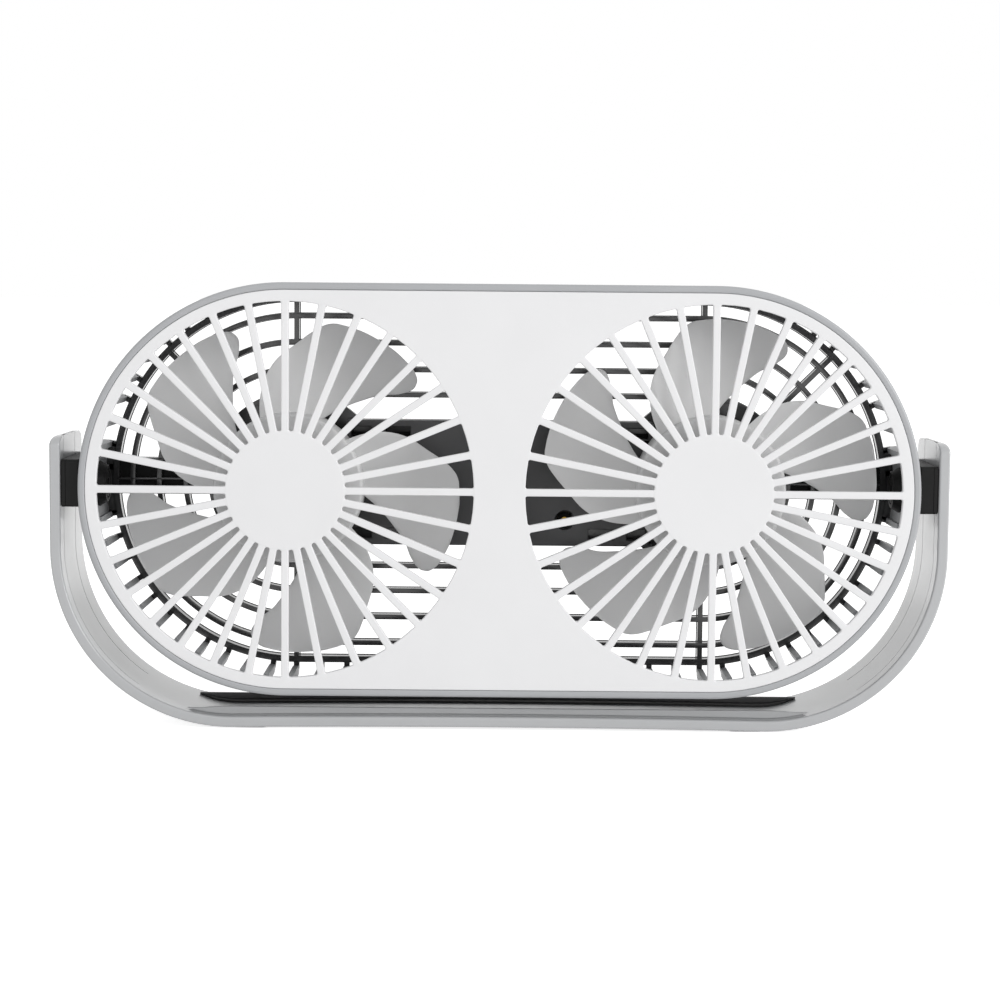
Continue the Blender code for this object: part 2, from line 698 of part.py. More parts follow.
def make_electronics():
    """Cell, board, inlet, switch, lens and button in the spine."""
    centre = (0, CELL_FRONT + CELL_THICKNESS / 2, CELL_RISE)
    mesh = box((CELL_LENGTH, CELL_THICKNESS, CELL_HEIGHT), centre)
    cell = make_piece("battery_cell", mesh, CELL_WRAP, HEAD)
    edge = cell.modifiers.new("round_edges", "BEVEL")
    edge.width = CELL_ROUNDING
    edge.segments = 2
    bottom = -INLET_DROP + INLET_HEIGHT / 2 + FIT_GAP
    size = (BOARD_WIDTH, BOARD_THICKNESS, BOARD_TOP - bottom)
    centre = (0, BOARD_FRONT + BOARD_THICKNESS / 2, (BOARD_TOP + bottom) / 2)
    make_piece("circuit_board", box(size, centre), GREEN, HEAD)
    size = (SWITCH_SIZE, SWITCH_THICKNESS, SWITCH_SIZE)
    centre = (0, SWITCH_FRONT + SWITCH_THICKNESS / 2, BUTTON_HEIGHT)
    make_piece("power_switch", box(size, centre), STEEL, HEAD)
    make_button()
    lens = rod(LENS_RADIUS, POCKET_REAR, HEAD_REAR, "Y", (0, LENS_HEIGHT))
    make_piece("indicator_lens", lens, LENS, HEAD)
    front = HEAD_REAR - INLET_DEPTH
    inlet = make_piece("power_inlet", inlet_block(INLET_WIDTH, INLET_HEIGHT, front, HEAD_REAR), STEEL, HEAD)
    wall = 2 * INLET_WALL
    hollow = inlet_block(INLET_WIDTH - wall, INLET_HEIGHT - wall, front + 2 * INLET_WALL, HEAD_REAR + OVERRUN)
    combine(inlet, make_tool("inlet_hollow", hollow, HEAD), "DIFFERENCE")
    reach = INLET_DEPTH - OVERRUN
    tongue = box((TONGUE_WIDTH, reach, TONGUE_HEIGHT), (0, front + INLET_WALL + reach / 2, -INLET_DROP))
    combine(inlet, make_tool("inlet_tongue", tongue, HEAD), "UNION")


def make_button():
    """The round button, kept in by a flange behind the rear wall."""
    crown = HEAD_REAR + BUTTON_PROUD
    soft = BUTTON_PROUD / 2
    flange = POCKET_REAR - FIT_GAP
    wide = BUTTON_RADIUS + BUTTON_FLANGE
    profile = [(0, BUTTON_REST), (wide, BUTTON_REST), (wide, flange), (BUTTON_RADIUS, flange)]
    profile += [(BUTTON_RADIUS, crown - soft), (BUTTON_RADIUS - soft, crown), (0, crown)]
    make_piece("power_button", turned(profile, ROUND_STEPS, False), SOFT_GREY, HEAD, (0, 0, BUTTON_HEIGHT))


def smoothed(points, steps):
    """Points on a smooth curve through the given ones."""
    spots = [Vector(point) for point in points]
    spots = [2 * spots[0] - spots[1]] + spots + [2 * spots[-1] - spots[-2]]
    line = []
    for before, here, after, beyond in zip(spots, spots[1:], spots[2:], spots[3:]):
        for i in range(steps):
            t = i / steps
            bend = 2 * here + (after - before) * t
            bend += (2 * before - 5 * here + 4 * after - beyond) * t**2
            bend += (3 * here - before - 3 * after + beyond) * t**3
            line.append(bend / 2)
    return line + [spots[-2]]


def lead_route(side):
    """From the motor's side over its cradle, then along the spine to the board."""
    rest = CRADLE_FRONT - LEAD_RADIUS - FIT_GAP
    start = FAN_OFFSET - MOTOR_RADIUS - FIT_GAP - LEAD_RADIUS
    inside = HOUSING_HALF_LENGTH - HOUSING_WALL
    depth = CELL_FRONT + CELL_THICKNESS / 2
    route = [
        (start, rest, 0),
        (start, rest, LEAD_HEIGHT / 3),
        (start, rest, LEAD_HEIGHT * 2 / 3),
        (start, (rest + depth) / 2, LEAD_HEIGHT),
        (HOUSING_HALF_LENGTH + HOUSING_END_GAP / 2, depth, LEAD_HEIGHT),
        (inside - HOUSING_END_GAP / 2, depth, LEAD_HEIGHT),
        ((CELL_LENGTH / 2 + inside) / 2, depth, LEAD_HEIGHT),
        (CELL_LENGTH / 2, depth, LEAD_HEIGHT),
        (BOARD_WIDTH / 2 + FIT_GAP, BOARD_FRONT + BOARD_THICKNESS / 2, LEAD_HEIGHT),
    ]
    return [(side * x, y, z) for x, y, z in route]


def make_lead(side, side_name):
    """The wire pair in one sleeve from a motor to the board."""
    curve = bpy.data.curves.new("lead", "CURVE")
    curve.dimensions = "3D"
    curve.bevel_depth = LEAD_RADIUS
    curve.bevel_resolution = WIRE_SIDES
    curve.use_fill_caps = True
    line = smoothed(lead_route(side), LEAD_STEPS)
    spline = curve.splines.new("POLY")
    spline.points.add(len(line) - 1)
    for point, place in zip(spline.points, line):
        point.co = (*place, 1)
    item = bpy.data.objects.new("lead", curve)
    TOOLS.objects.link(item)
    make_piece(f"motor_lead_{side_name}", baked(item), BLACK, HEAD)


def blade_surface(phase):
    """One swept blade as an open surface about the Y axis, at an angle in degrees."""
    work = bmesh.new()
    rows = []
    for share, lead, trail in zip(BLADE_RADIUS_SHARES, BLADE_LEAD_DEGREES, BLADE_TRAIL_DEGREES):
        radius = share * TIP_RADIUS
        if share == BLADE_RADIUS_SHARES[0]:
            radius = HUB_RADIUS - HUB_WALL / 2
        row = []
        for i in range(BLADE_COLUMNS + 1):
            turn = lead + (trail - lead) * i / BLADE_COLUMNS
            angle = math.radians(phase + turn)
            y = -BLADE_MID - BLADE_RISE_PER_DEGREE * turn
            row.append(work.verts.new((radius * math.cos(angle), y, radius * math.sin(angle))))
        rows.append(row)
    for low, high in zip(rows, rows[1:]):
        for i in range(BLADE_COLUMNS):
            work.faces.new((low[i], low[i + 1], high[i + 1], high[i]))
    mesh = bpy.data.meshes.new("blade")
    work.to_mesh(mesh)
    work.free()
    item = bpy.data.objects.new("blade", mesh)
    TOOLS.objects.link(item)
    skin = item.modifiers.new("skin", "SOLIDIFY")
    skin.thickness = BLADE_THICKNESS
    skin.offset = 0
    return finish_mesh(baked(item), "blade")


def make_impeller(name, axis, phase):
    """A cup-shaped hub with five swept blades."""
    inner = HUB_RADIUS - HUB_WALL
    floor = HUB_WALL - HUB_FRONT
    boss_rear = BUSH_FRONT - FIT_GAP
    bore = SHAFT_RADIUS + SHAFT_CLEARANCE
    profile = [
        (0, -HUB_FRONT),
        (HUB_RADIUS - HUB_CHAMFER, -HUB_FRONT),
        (HUB_RADIUS, HUB_CHAMFER - HUB_FRONT),
        (HUB_RADIUS, HUB_REAR),
        (inner, HUB_REAR),
        (inner, floor),
        (HUB_BOSS_RADIUS, floor),
        (HUB_BOSS_RADIUS, boss_rear),
        (bore, boss_rear),
        (bore, HUB_CHAMFER - HUB_FRONT),
        (0, HUB_CHAMFER - HUB_FRONT),
    ]
    impeller = make_piece(name, turned(profile, ROUND_STEPS, False), BLADE_GREY, axis)
    blades = [blade_surface(phase + 360.0 * i / BLADE_COUNT) for i in range(BLADE_COUNT)]
    combine(impeller, make_tool(name + "_blades", joined(blades), axis), "UNION")


def make_drive(side, side_name, axis):
    """Motor, its bush, shaft and two screws behind one impeller."""
    bore = SHAFT_RADIUS + SHAFT_CLEARANCE
    end = MOTOR_BORE_DEPTH - MOTOR_FRONT
    profile = [
        (bore, -MOTOR_FRONT),
        (MOTOR_RADIUS, -MOTOR_FRONT),
        (MOTOR_RADIUS, MOTOR_REAR),
        (0, MOTOR_REAR),
        (0, end),
        (bore, end),
    ]
    can = slid(turned(profile, ROUND_STEPS, True), (side * FAN_OFFSET, 0, 0))
    motor = make_piece(f"motor_{side_name}", can, STEEL, HEAD)
    seat = HEAD_REAR - MOTOR_SCREW_SINK
    tip = MOTOR_REAR - MOTOR_SCREW_GRIP
    holes = []
    for turn in (-1, 1):
        place = (side * FAN_OFFSET + turn * MOTOR_SCREW_OFFSET, 0)
        holes.append(rod(SCREW_HOLE, tip - FIT_GAP, MOTOR_REAR + OVERRUN, "Y", place))
        number = 1 if turn < 0 else 2
        make_screw(f"motor_screw_{side_name}_{number}", place, seat, tip, MOTOR_SCREW_HEAD_RADIUS)
    combine(motor, make_tool(f"motor_{side_name}_holes", joined(holes), HEAD), "DIFFERENCE")
    bush = ring(bore, BUSH_RADIUS, BUSH_FRONT, BUSH_FRONT + BUSH_LENGTH, SMALL_STEPS)
    make_piece(f"motor_bush_{side_name}", slid(bush, (side * FAN_OFFSET, 0, 0)), BRASS, HEAD)
    shaft = rod(SHAFT_RADIUS, HUB_CHAMFER + FIT_GAP - HUB_FRONT, end - FIT_GAP, "Y")
    make_piece(f"motor_shaft_{side_name}", shaft, STEEL, axis)


def cross_rod(side, radius, near, far, steps=SMALL_STEPS):
    """A cylinder along X on one side of the head, between two distances from the middle."""
    low, high = sorted((side * near, side * far))
    return rod(radius, low, high, "X", steps=steps)


def pivot_box(side, near, far):
    """A flat box over the pivot axis, between two distances from the middle."""
    depth = 2 * (STAND_HALF_DEPTH - BLOCK_INSET)
    return box((far - near, depth, BLOCK_HEIGHT), (side * (near + far) / 2, 0, BLOCK_RISE))


def make_pivot(side, side_name):
    """Block, friction plate, nut, screw and cap where the head hangs in one arm."""
    nut_end = FAN_OFFSET + math.sqrt((HEAD_RADIUS - RIM_WALL) ** 2 - NUT_RADIUS**2) - FIT_GAP
    neck_start = nut_end - NUT_LENGTH
    block_start = HEAD_END + FIT_GAP
    plate_end = PIVOT_FACE - FIT_GAP
    plate_start = plate_end - FRICTION_THICKNESS
    block_end = plate_start - FIT_GAP
    cap_start = STAND_HALF_WIDTH - CAP_THICKNESS
    head_end = cap_start - FIT_GAP
    head_start = head_end - PIVOT_SCREW_HEAD
    screw_tip = head_end - PIVOT_SCREW_LENGTH
    bore = PIVOT_SCREW_RADIUS + FIT_GAP
    axis = (0, 0, PIVOT_HEIGHT)

    block = make_piece(f"pivot_block_{side_name}", pivot_box(side, block_start, block_end), BLACK, HEAD)
    mesh = cross_rod(side, NECK_RADIUS, neck_start, block_start + FIT_GAP)
    combine(block, make_tool(f"pivot_neck_{side_name}", mesh, HEAD), "UNION")
    mesh = cross_rod(side, bore, screw_tip - FIT_GAP, block_end + OVERRUN)
    combine(block, make_tool(f"pivot_bore_{side_name}", mesh, HEAD), "DIFFERENCE")

    mesh = cross_rod(side, NUT_RADIUS, neck_start, nut_end, ROUND_STEPS)
    nut = make_piece(f"pivot_nut_{side_name}", mesh, BLACK, HEAD)
    mesh = cross_rod(side, NECK_RADIUS + FIT_GAP, neck_start - OVERRUN, nut_end + OVERRUN)
    combine(nut, make_tool(f"nut_hole_{side_name}", mesh, HEAD), "DIFFERENCE")

    mesh = pivot_box(side, plate_start, plate_end)
    plate = make_piece(f"friction_plate_{side_name}", mesh, BLACK, STAND, axis)
    mesh = cross_rod(side, bore, plate_start - OVERRUN, plate_end + OVERRUN)
    combine(plate, make_tool(f"plate_hole_{side_name}", mesh, STAND, axis), "DIFFERENCE")

    mesh = cross_rod(side, CAP_RADIUS, cap_start, STAND_HALF_WIDTH, ROUND_STEPS)
    make_piece(f"pivot_cap_{side_name}", mesh, SILVER, STAND, axis)

    mesh = cross_rod(side, PIVOT_SCREW_HEAD_RADIUS, head_start, head_end)
    screw = make_piece(f"pivot_screw_{side_name}", mesh, STEEL, HEAD)
    mesh = cross_rod(side, PIVOT_SCREW_RADIUS, screw_tip, head_start + PIVOT_SCREW_HEAD / 2)
    combine(screw, make_tool(f"pivot_shank_{side_name}", mesh, HEAD), "UNION")


def stand_side(radius, half_width, bottom, top):
    """Right half of one side of the U, from the arm's top to the middle of the base."""
    points = [(half_width, top)]
    points += arc((BEND_CENTRE_X, BEND_CENTRE_Z), radius, 0, -math.pi / 2, BEND_STEPS)
    points[1] = (half_width, points[1][1])
    points[-1] = (points[-1][0], bottom)
    return points


def stand_outline():
    """The U band: flat arms, round bends and a base that arches slightly."""
    top = PIVOT_HEIGHT + ARM_RISE
    outer = stand_side(BEND_RADIUS, STAND_HALF_WIDTH, BASE_BOTTOM, top - ARM_CORNER_HEIGHT)
    inner = stand_side(INNER_BEND, PIVOT_FACE, BASE_TOP, top)
    half = BEND_CENTRE_X
    arch = []
    for i in range(1, ARCH_STEPS):
        x = half * (1 - i / ARCH_STEPS)
        arch.append((x, BASE_ARCH * (1 - (x / half) ** 2)))
    under = [(x, BASE_BOTTOM + rise) for x, rise in arch] + [(0, BASE_BOTTOM + BASE_ARCH)]
    over = [(x, BASE_TOP + rise) for x, rise in arch] + [(0, BASE_TOP + BASE_ARCH)]
    shoulder = (
        STAND_HALF_WIDTH - ARM_CORNER_WIDTH * ARM_CORNER_SHARE,
        top - ARM_CORNER_HEIGHT * ARM_CORNER_SHARE,
    )
    corner = [(STAND_HALF_WIDTH - ARM_CORNER_WIDTH, top), shoulder]
    right = [inner[0]] + corner + outer + under
    left = [(-x, z) for x, z in reversed(right[:-1])]
    inside_left = [(-x, z) for x, z in (inner[1:] + over)]
    inside_right = list(reversed(inner[1:] + over[:-1]))
    return right + left + inside_left + inside_right


def base_chord(rise, half_limit, sink):
    """A low wall standing on the inside of the base, its ends following the bends."""
    top = BASE_TOP + rise
    drop = BEND_CENTRE_Z - top
    reach = BEND_CENTRE_X + math.sqrt(max(INNER_BEND**2 - drop**2, 0))
    reach = min(reach, half_limit)
    start = -math.acos(min((reach - BEND_CENTRE_X) / INNER_BEND, 1.0))
    edge = arc((BEND_CENTRE_X, BEND_CENTRE_Z), INNER_BEND + sink, start, -math.pi / 2, 4)
    right = [(edge[0][0], max(top, edge[0][1]))] + edge
    middle = []
    for i in range(1, ARCH_STEPS):
        x = BEND_CENTRE_X * (1 - i / ARCH_STEPS)
        middle.append((x, BASE_TOP + BASE_ARCH * (1 - (x / BEND_CENTRE_X) ** 2) - sink))
    right += middle
    left = [(-x, z) for x, z in reversed(right)]
    return right + [(0, BASE_TOP + BASE_ARCH - sink)] + left


def strip_outline(outer_offset, end_extra):
    """The right arm's cover strip, from the arm's top down round the bend."""
    end = math.radians(STRIP_END_DEGREES) + end_extra / INNER_BEND
    steps = BEND_STEPS // 2
    top = PIVOT_HEIGHT + ARM_RISE + end_extra
    outer = [(PIVOT_FACE + outer_offset, top)]
    outer += arc((BEND_CENTRE_X, BEND_CENTRE_Z), INNER_BEND + outer_offset, 0, -end, steps)
    return outer


def make_stand():
    """The U-shaped stand, its cover strips, stop strip and foot pads."""
    stand = make_piece("u_stand", slab([stand_outline()], -STAND_HALF_DEPTH, STAND_HALF_DEPTH), SILVER, STAND)
    lip_front = LIP_SETBACK - STAND_HALF_DEPTH
    chord = base_chord(LIP_HEIGHT, STAND_HALF_WIDTH, STAND_THICKNESS / 3)
    lip = slab([chord], lip_front, lip_front + LIP_THICKNESS)
    combine(stand, make_tool("base_lip", lip, STAND), "UNION")
    cuts = []
    for side in (-1, 1):
        outside = strip_outline(STRIP_SEAT, FIT_GAP)
        inside = strip_outline(-OVERRUN, FIT_GAP)
        outside[0] = (outside[0][0], outside[0][1] + OVERRUN)
        inside[0] = (inside[0][0], inside[0][1] + OVERRUN)
        loop = outside + inside[::-1]
        loop = loop if side > 0 else mirrored(loop)
        cuts.append(slab([loop], -STRIP_FRONT - FIT_GAP, STRIP_REAR + FIT_GAP))
    combine(stand, make_tool("strip_recesses", joined(cuts), STAND), "DIFFERENCE")
    axis = (0, 0, PIVOT_HEIGHT)
    bore = PIVOT_SCREW_RADIUS + FIT_GAP
    inside = PIVOT_FACE - OVERRUN
    outside = STAND_HALF_WIDTH + OVERRUN
    holes = [cross_rod(side, bore, inside, outside) for side in (-1, 1)]
    combine(stand, make_tool("pivot_holes", joined(holes), STAND, axis), "DIFFERENCE")
    floor = STAND_HALF_WIDTH - CAP_THICKNESS - PIVOT_SCREW_HEAD - 2 * FIT_GAP
    wide = CAP_RADIUS + FIT_GAP
    seats = [cross_rod(side, wide, floor, outside, ROUND_STEPS) for side in (-1, 1)]
    combine(stand, make_tool("cap_seats", joined(seats), STAND, axis), "DIFFERENCE")
    pads = []
    for side in (-1, 1):
        size = (PAD_LENGTH + 2 * FIT_GAP, PAD_WIDTH + 2 * FIT_GAP, 2 * (PAD_SINK + FIT_GAP))
        pads.append(box(size, (side * PAD_PLACE, 0, BASE_BOTTOM)))
    combine(stand, make_tool("pad_seats", joined(pads), STAND), "DIFFERENCE")
    for side, side_name in ((-1, "left"), (1, "right")):
        loop = strip_outline(STRIP_THICKNESS, 0) + strip_outline(0, 0)[::-1]
        loop = loop if side > 0 else mirrored(loop)
        strip = make_piece(f"arm_cover_{side_name}", slab([loop], -STRIP_FRONT, STRIP_REAR), SILVER, STAND)
        hole = cross_rod(side, bore, inside, outside)
        combine(strip, make_tool(f"strip_hole_{side_name}", hole, STAND, axis), "DIFFERENCE")
        height = PAD_PROUD + PAD_SINK
        pad = box((PAD_LENGTH, PAD_WIDTH, height), (side * PAD_PLACE, 0, height / 2))
        make_piece(f"foot_pad_{side_name}", pad, BLACK, STAND)


def make_stop_strip():
    """The dark strip behind the lip: a low wall with a thin flange in front of it."""
    block = base_chord(STOP_RISE, STOP_HALF_LENGTH, -FIT_GAP)
    strip = make_piece("stop_strip", slab([block], STOP_FLANGE, STOP_PLACE + STOP_THICKNESS), DARK, STAND)
    above = base_chord(STOP_RISE + OVERRUN, STOP_HALF_LENGTH + OVERRUN, -FIT_GAP - STOP_FLANGE_THICKNESS)
    tool = make_tool("stop_step", slab([above], STOP_FLANGE - OVERRUN, STOP_PLACE), STAND)
    combine(strip, tool, "DIFFERENCE")


clear_scene()
PARTS = make_collection("portable_dual_fan")
TOOLS = make_collection("portable_dual_fan_tools")
PALE = make_material("pale_plastic", (0.80, 0.80, 0.81), 0.45)
SILVER = make_material("silver_plastic", (0.48, 0.49, 0.50), 0.40)
BLADE_GREY = make_material("blade_plastic", (0.38, 0.38, 0.39), 0.35)
DARK = make_material("dark_plastic", (0.045, 0.045, 0.048), 0.50)
BLACK = make_material("black_rubber", (0.012, 0.012, 0.013), 0.60)
STEEL = make_material("steel", (0.55, 0.55, 0.56), 0.30, 1.0)
BRASS = make_material("brass", (0.62, 0.44, 0.14), 0.35, 1.0)
GREEN = make_material("board_green", (0.02, 0.16, 0.06), 0.50)
CELL_WRAP = make_material("cell_wrap", (0.25, 0.28, 0.33), 0.40)
SOFT_GREY = make_material("button_plastic", (0.30, 0.30, 0.31), 0.45)
LENS = make_material("lens_plastic", (0.10, 0.35, 0.15), 0.15)

STAND = make_empty("stand_frame", (0, MIDDLE_SHIFT, 0))
HEAD = make_empty("head_frame", (0, 0, PIVOT_HEIGHT), STAND)
LEFT_AXIS = make_empty("fan_left_axis", (-FAN_OFFSET, 0, 0), HEAD)
RIGHT_AXIS = make_empty("fan_right_axis", (FAN_OFFSET, 0, 0), HEAD)

make_front_grille()
make_housing_frame()
make_rear_cover()
make_centre_housing()
for screw_side, screw_name in ((-1, "left"), (1, "right")):
    seat_y = HOUSING_FRONT + RECESS_DEPTH - FIT_GAP
    tip_y = POST_FRONT + POST_HOLE_DEPTH - FIT_GAP
    place = (screw_side * BOSS_OFFSET, -BOSS_DROP)
    make_screw(f"housing_screw_{screw_name}", place, seat_y, tip_y, SCREW_HEAD_RADIUS)
make_electronics()
make_impeller("impeller_left", LEFT_AXIS, LEFT_PHASE)
make_impeller("impeller_right", RIGHT_AXIS, RIGHT_PHASE)
make_drive(-1, "left", LEFT_AXIS)
make_drive(1, "right", RIGHT_AXIS)
make_lead(-1, "left")
make_lead(1, "right")
make_pivot(-1, "left")
make_pivot(1, "right")
make_stand()
make_stop_strip()
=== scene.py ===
"""Looks of the portable dual fan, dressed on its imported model.

Lengths are metres and +Z is up. Head pieces are worked out from the pivot axis, with the
middle of the head at x = 0, and are moved to their place in the model when they are made.
Outlines are arrays of (x, z), sections are arrays of (sideways, y).
"""

import math

import bmesh
import bpy
import numpy as np
from mathutils import Matrix, Vector
from mathutils.geometry import delaunay_2d_cdt


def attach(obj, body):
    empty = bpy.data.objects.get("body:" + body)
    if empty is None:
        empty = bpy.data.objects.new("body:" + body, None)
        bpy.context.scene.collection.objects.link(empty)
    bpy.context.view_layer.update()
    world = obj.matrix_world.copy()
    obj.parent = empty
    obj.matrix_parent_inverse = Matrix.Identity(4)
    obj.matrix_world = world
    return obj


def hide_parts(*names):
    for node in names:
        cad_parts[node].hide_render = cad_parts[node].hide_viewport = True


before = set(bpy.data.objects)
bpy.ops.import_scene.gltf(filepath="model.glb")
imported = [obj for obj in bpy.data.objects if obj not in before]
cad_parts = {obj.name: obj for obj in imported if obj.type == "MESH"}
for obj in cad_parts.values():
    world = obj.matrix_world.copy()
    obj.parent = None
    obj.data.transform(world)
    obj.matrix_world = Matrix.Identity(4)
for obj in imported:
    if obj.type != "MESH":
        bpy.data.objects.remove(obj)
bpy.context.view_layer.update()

# Where the middle of the pivot axis and the middle of the stand's foot are in the model
HEAD_PLACE = np.array([0.0, -0.0014, 0.0756004])
STAND_PLACE = np.array([0.0, -0.0014, 0.0])

# Head
HEAD_RADIUS = 0.0645
FAN_OFFSET = 0.0667
HEAD_FRONT = 0.0220
HEAD_REAR = 0.0240
RIM_WALL = 0.00225
FRAME_REAR = 0.0174
FIT_GAP = 0.0003
RIM_ROUND = 0.0010
RIM_INNER_ROUND = 0.0005
RIM_LEDGE = 0.0027
PANEL_GAP = 0.00006
HALF_TURN_STEPS = 96

# Front grille
PANEL_THICKNESS = 0.0022
SLOT_COUNT = 32
SLOT_INNER = 0.0186
SLOT_OUTER = 0.0587
SLOT_RIB = 0.0023
SLOT_ROUND = 0.0006
PANEL_ROUND = 0.0003

# Rear cover
COVER_WALL = 0.0020
COVER_FRONT = 0.0177
RIB_DEPTH = 0.0032
VENT_FRONT = -0.0030
PLATE_FRONT = 0.0196
COVER_CORNER = 0.0060
GRILLE_RADIUS = 0.05945
OUTER_BAR = 0.0021
GRILLE_BAR = 0.0017
BEAD = 0.00018
BEAD_DEPTH = 0.0005
LOOP_SHARES = (0.4748, 0.6136, 0.7605, 0.9063)
INNER_LOOP = LOOP_SHARES[0] * GRILLE_RADIUS
END_VENTS = 25
TOP_VENTS = 16
VENT_RIB = 0.0018
SOLID_VENTS = (11, 14)
SIDE_BAR_TOP = 0.0070
SIDE_BAR_BOTTOM = 0.0050
POCKET_DEPTH = 0.0028
BAR_ROUND = 0.00025
SPINE_HALF = 0.0203
CRADLE_INNER = 0.0125
CRADLE_OUTER = 0.0143
CRADLE_FRONT = 0.0090

# Openings in the rear wall
BUTTON_HEIGHT = 0.0060
BUTTON_RADIUS = 0.0050
LENS_HEIGHT = 0.0145
LENS_RADIUS = 0.0012
INLET_DROP = 0.0135
INLET_WIDTH = 0.0090
INLET_HEIGHT = 0.0032
MOTOR_SCREW_OFFSET = 0.0080
MOTOR_SCREW_RADIUS = 0.0019

# Centre housing
HOUSING_FRONT = 0.0120
HOUSING_REAR = 0.0193
HOUSING_HALF_LENGTH = 0.0500
HOUSING_WALL = 0.0016
HOUSING_ROUND = 0.0008
VENT_LENGTH = 0.0082
VENT_HEIGHT = 0.0034
VENT_PLACES = (0.0457, 0.0332)
VENT_RISE = 0.0165
BOSS_OFFSET = 0.0213
BOSS_DROP = 0.0118
RECESS_RADIUS = 0.0031
RECESS_DEPTH = 0.0030
HOUSING_SCREW_RADIUS = 0.0026
CUP_BORE = 0.0013
CUP_OUTER = 0.0044
CUP_REAR = 0.0201
HOUSING_SCREW_TIP = 0.0214
SCREW_HEAD = 0.0014
SCREW_CROWN = 0.00042
SCREW_SHANK = 0.0010
SOCKET_RADIUS = 0.0009
SOCKET_DEPTH = 0.00084
COLLAR_BORE = 0.000936

# Impellers
TIP_RADIUS = 0.0542
HUB_RADIUS = 0.0237
HUB_WALL = 0.0016
HUB_FRONT = 0.0120
HUB_REAR = 0.0040
HUB_ROUND = 0.0012
BLADE_COUNT = 5
BLADE_THICKNESS = 0.0013
BLADE_MID = 0.0030
BLADE_RISE = 0.0002
BLADE_CAMBER = 0.0012
TIP_CROWDING = 1.6
PHASES = (1.0, 22.5)
RADIUS_SHARES = (0.412, 0.546, 0.654, 0.746, 0.835, 0.911, 0.959, 0.990, 1.0)
LEAD_DEGREES = (40.0, 34.6, 29.1, 22.8, 14.5, 9.0, 5.5, 1.5, -7.0)
TRAIL_DEGREES = (-7.0, -16.5, -23.0, -27.6, -32.8, -34.6, -33.4, -29.5, -22.0)
MOTOR_SCREW_SEAT = 0.0222
MOTOR_SCREW_TIP = 0.0173

# Pivots
HEAD_END = 0.1312
PIVOT_FACE = 0.1371
BLOCK_HALF_DEPTH = 0.0185
BLOCK_LOW = -0.0060
BLOCK_HIGH = 0.0089
BLOCK_ROUND = 0.0010
BLOCK_END = 0.1355
FRICTION_START = 0.13555
SCREW_BORE = 0.0018
NECK_RADIUS = 0.0042
NUT_RADIUS = 0.0072
CAP_RADIUS = 0.0060
CAP_PROUD = 0.0002
NUT_START = 0.12523
NUT_END = 0.12823

# Stand
STAND_HALF_DEPTH = 0.0190
STAND_THICKNESS = 0.0034
STAND_ROUND = 0.0007
STAND_REAR_ROUND = 0.0003
ARM_TOP = 0.0917
ARM_CORNER_WIDTH = 0.0016
ARM_CORNER_HEIGHT = 0.0030
ARM_CORNER_DEPTH = 0.0060
BEND_X = 0.0841
BEND_Z = 0.0568
INNER_BEND = 0.0530
BASE_TOP = 0.0038
BASE_ARCH = 0.0006
STRIP_SEAT = 0.0008
STRIP_THICKNESS = 0.0005
STRIP_FRONT = 0.0125
STRIP_REAR = 0.0065
STRIP_END = math.radians(56.0)
LIP_FRONT = -0.0174
LIP_REAR = -0.0160
LIP_RISE = 0.0030
LIP_HALF_LENGTH = 0.0980
LIP_DROOP = 0.0011
SHADOW_GAP = 0.0007
SHADOW_SINK = 0.0008
STOP_FRONT = 0.0055
STOP_WALL = 0.0110
STOP_REAR = 0.0124
STOP_RISE = 0.0024
STOP_FLANGE = 0.0006
STOP_HALF_LENGTH = 0.0975
STOP_FLANGE_END = 0.0955
STOP_TAPER = 0.0140
PAD_PLACE = 0.0785
PAD_LENGTH = 0.0110
PAD_WIDTH = 0.0330
PAD_PROUD = 0.0004
PAD_SINK = 0.0006
PAD_ROUND = 0.0016

SIDES = ((-1, "left"), (1, "right"))
WELD = 1e-6
SMOOTH = math.radians(35.0)
ROUND_STEPS = 72


# Outlines and sections


def norm(vectors):
    """Each vector divided by its length."""
    return vectors / np.linalg.norm(vectors, axis=-1, keepdims=True)


def spokes(turn):
    """The directions at some angles."""
    return np.stack([np.cos(turn), np.sin(turn)], -1)


def rounded(corners, radius, steps=4):
    """A closed outline with rounded corners.

    With half the angle between two sides h, the arc starts radius / tan h from the corner and
    its centre lies radius / sin h along the line that halves the corner.
    """
    corners = np.asarray(corners, float)
    radius = np.broadcast_to(radius, len(corners)).astype(float)[:, None]
    back = norm(np.roll(corners, 1, 0) - corners)
    ahead = norm(np.roll(corners, -1, 0) - corners)
    half = np.arccos(np.clip((back * ahead).sum(1, keepdims=True), -1, 1)) / 2
    centre = corners + norm(back + ahead) * radius / np.sin(half)
    first, last = (corners + way * radius / np.tan(half) - centre for way in (back, ahead))
    start = np.arctan2(first[:, 1], first[:, 0])
    turn = (np.arctan2(last[:, 1], last[:, 0]) - start + np.pi) % (2 * np.pi) - np.pi
    angle = start[:, None] + turn[:, None] * np.linspace(0, 1, steps + 1)
    return (centre[:, None] + radius[:, None] * spokes(angle)).reshape(-1, 2)


def oblong(low, high, front, rear, rounding, steps=2):
    """A rectangle from (low, front) to (high, rear) with rounded corners."""
    return rounded([(low, front), (high, front), (high, rear), (low, rear)], rounding, steps)


def circle(radius, centre=(0.0, 0.0), steps=ROUND_STEPS):
    """Points at equal turns on a circle."""
    return np.asarray(centre) + radius * spokes(np.arange(steps) * 2 * np.pi / steps)


def head_line():
    """The line between the two fan axes and the outward direction round it, anticlockwise."""
    right = spokes(np.linspace(-np.pi / 2, np.pi / 2, HALF_TURN_STEPS + 1))
    middle = np.broadcast_to([FAN_OFFSET, 0], right.shape)
    return np.concatenate([middle, -middle]), np.concatenate([right, -right])


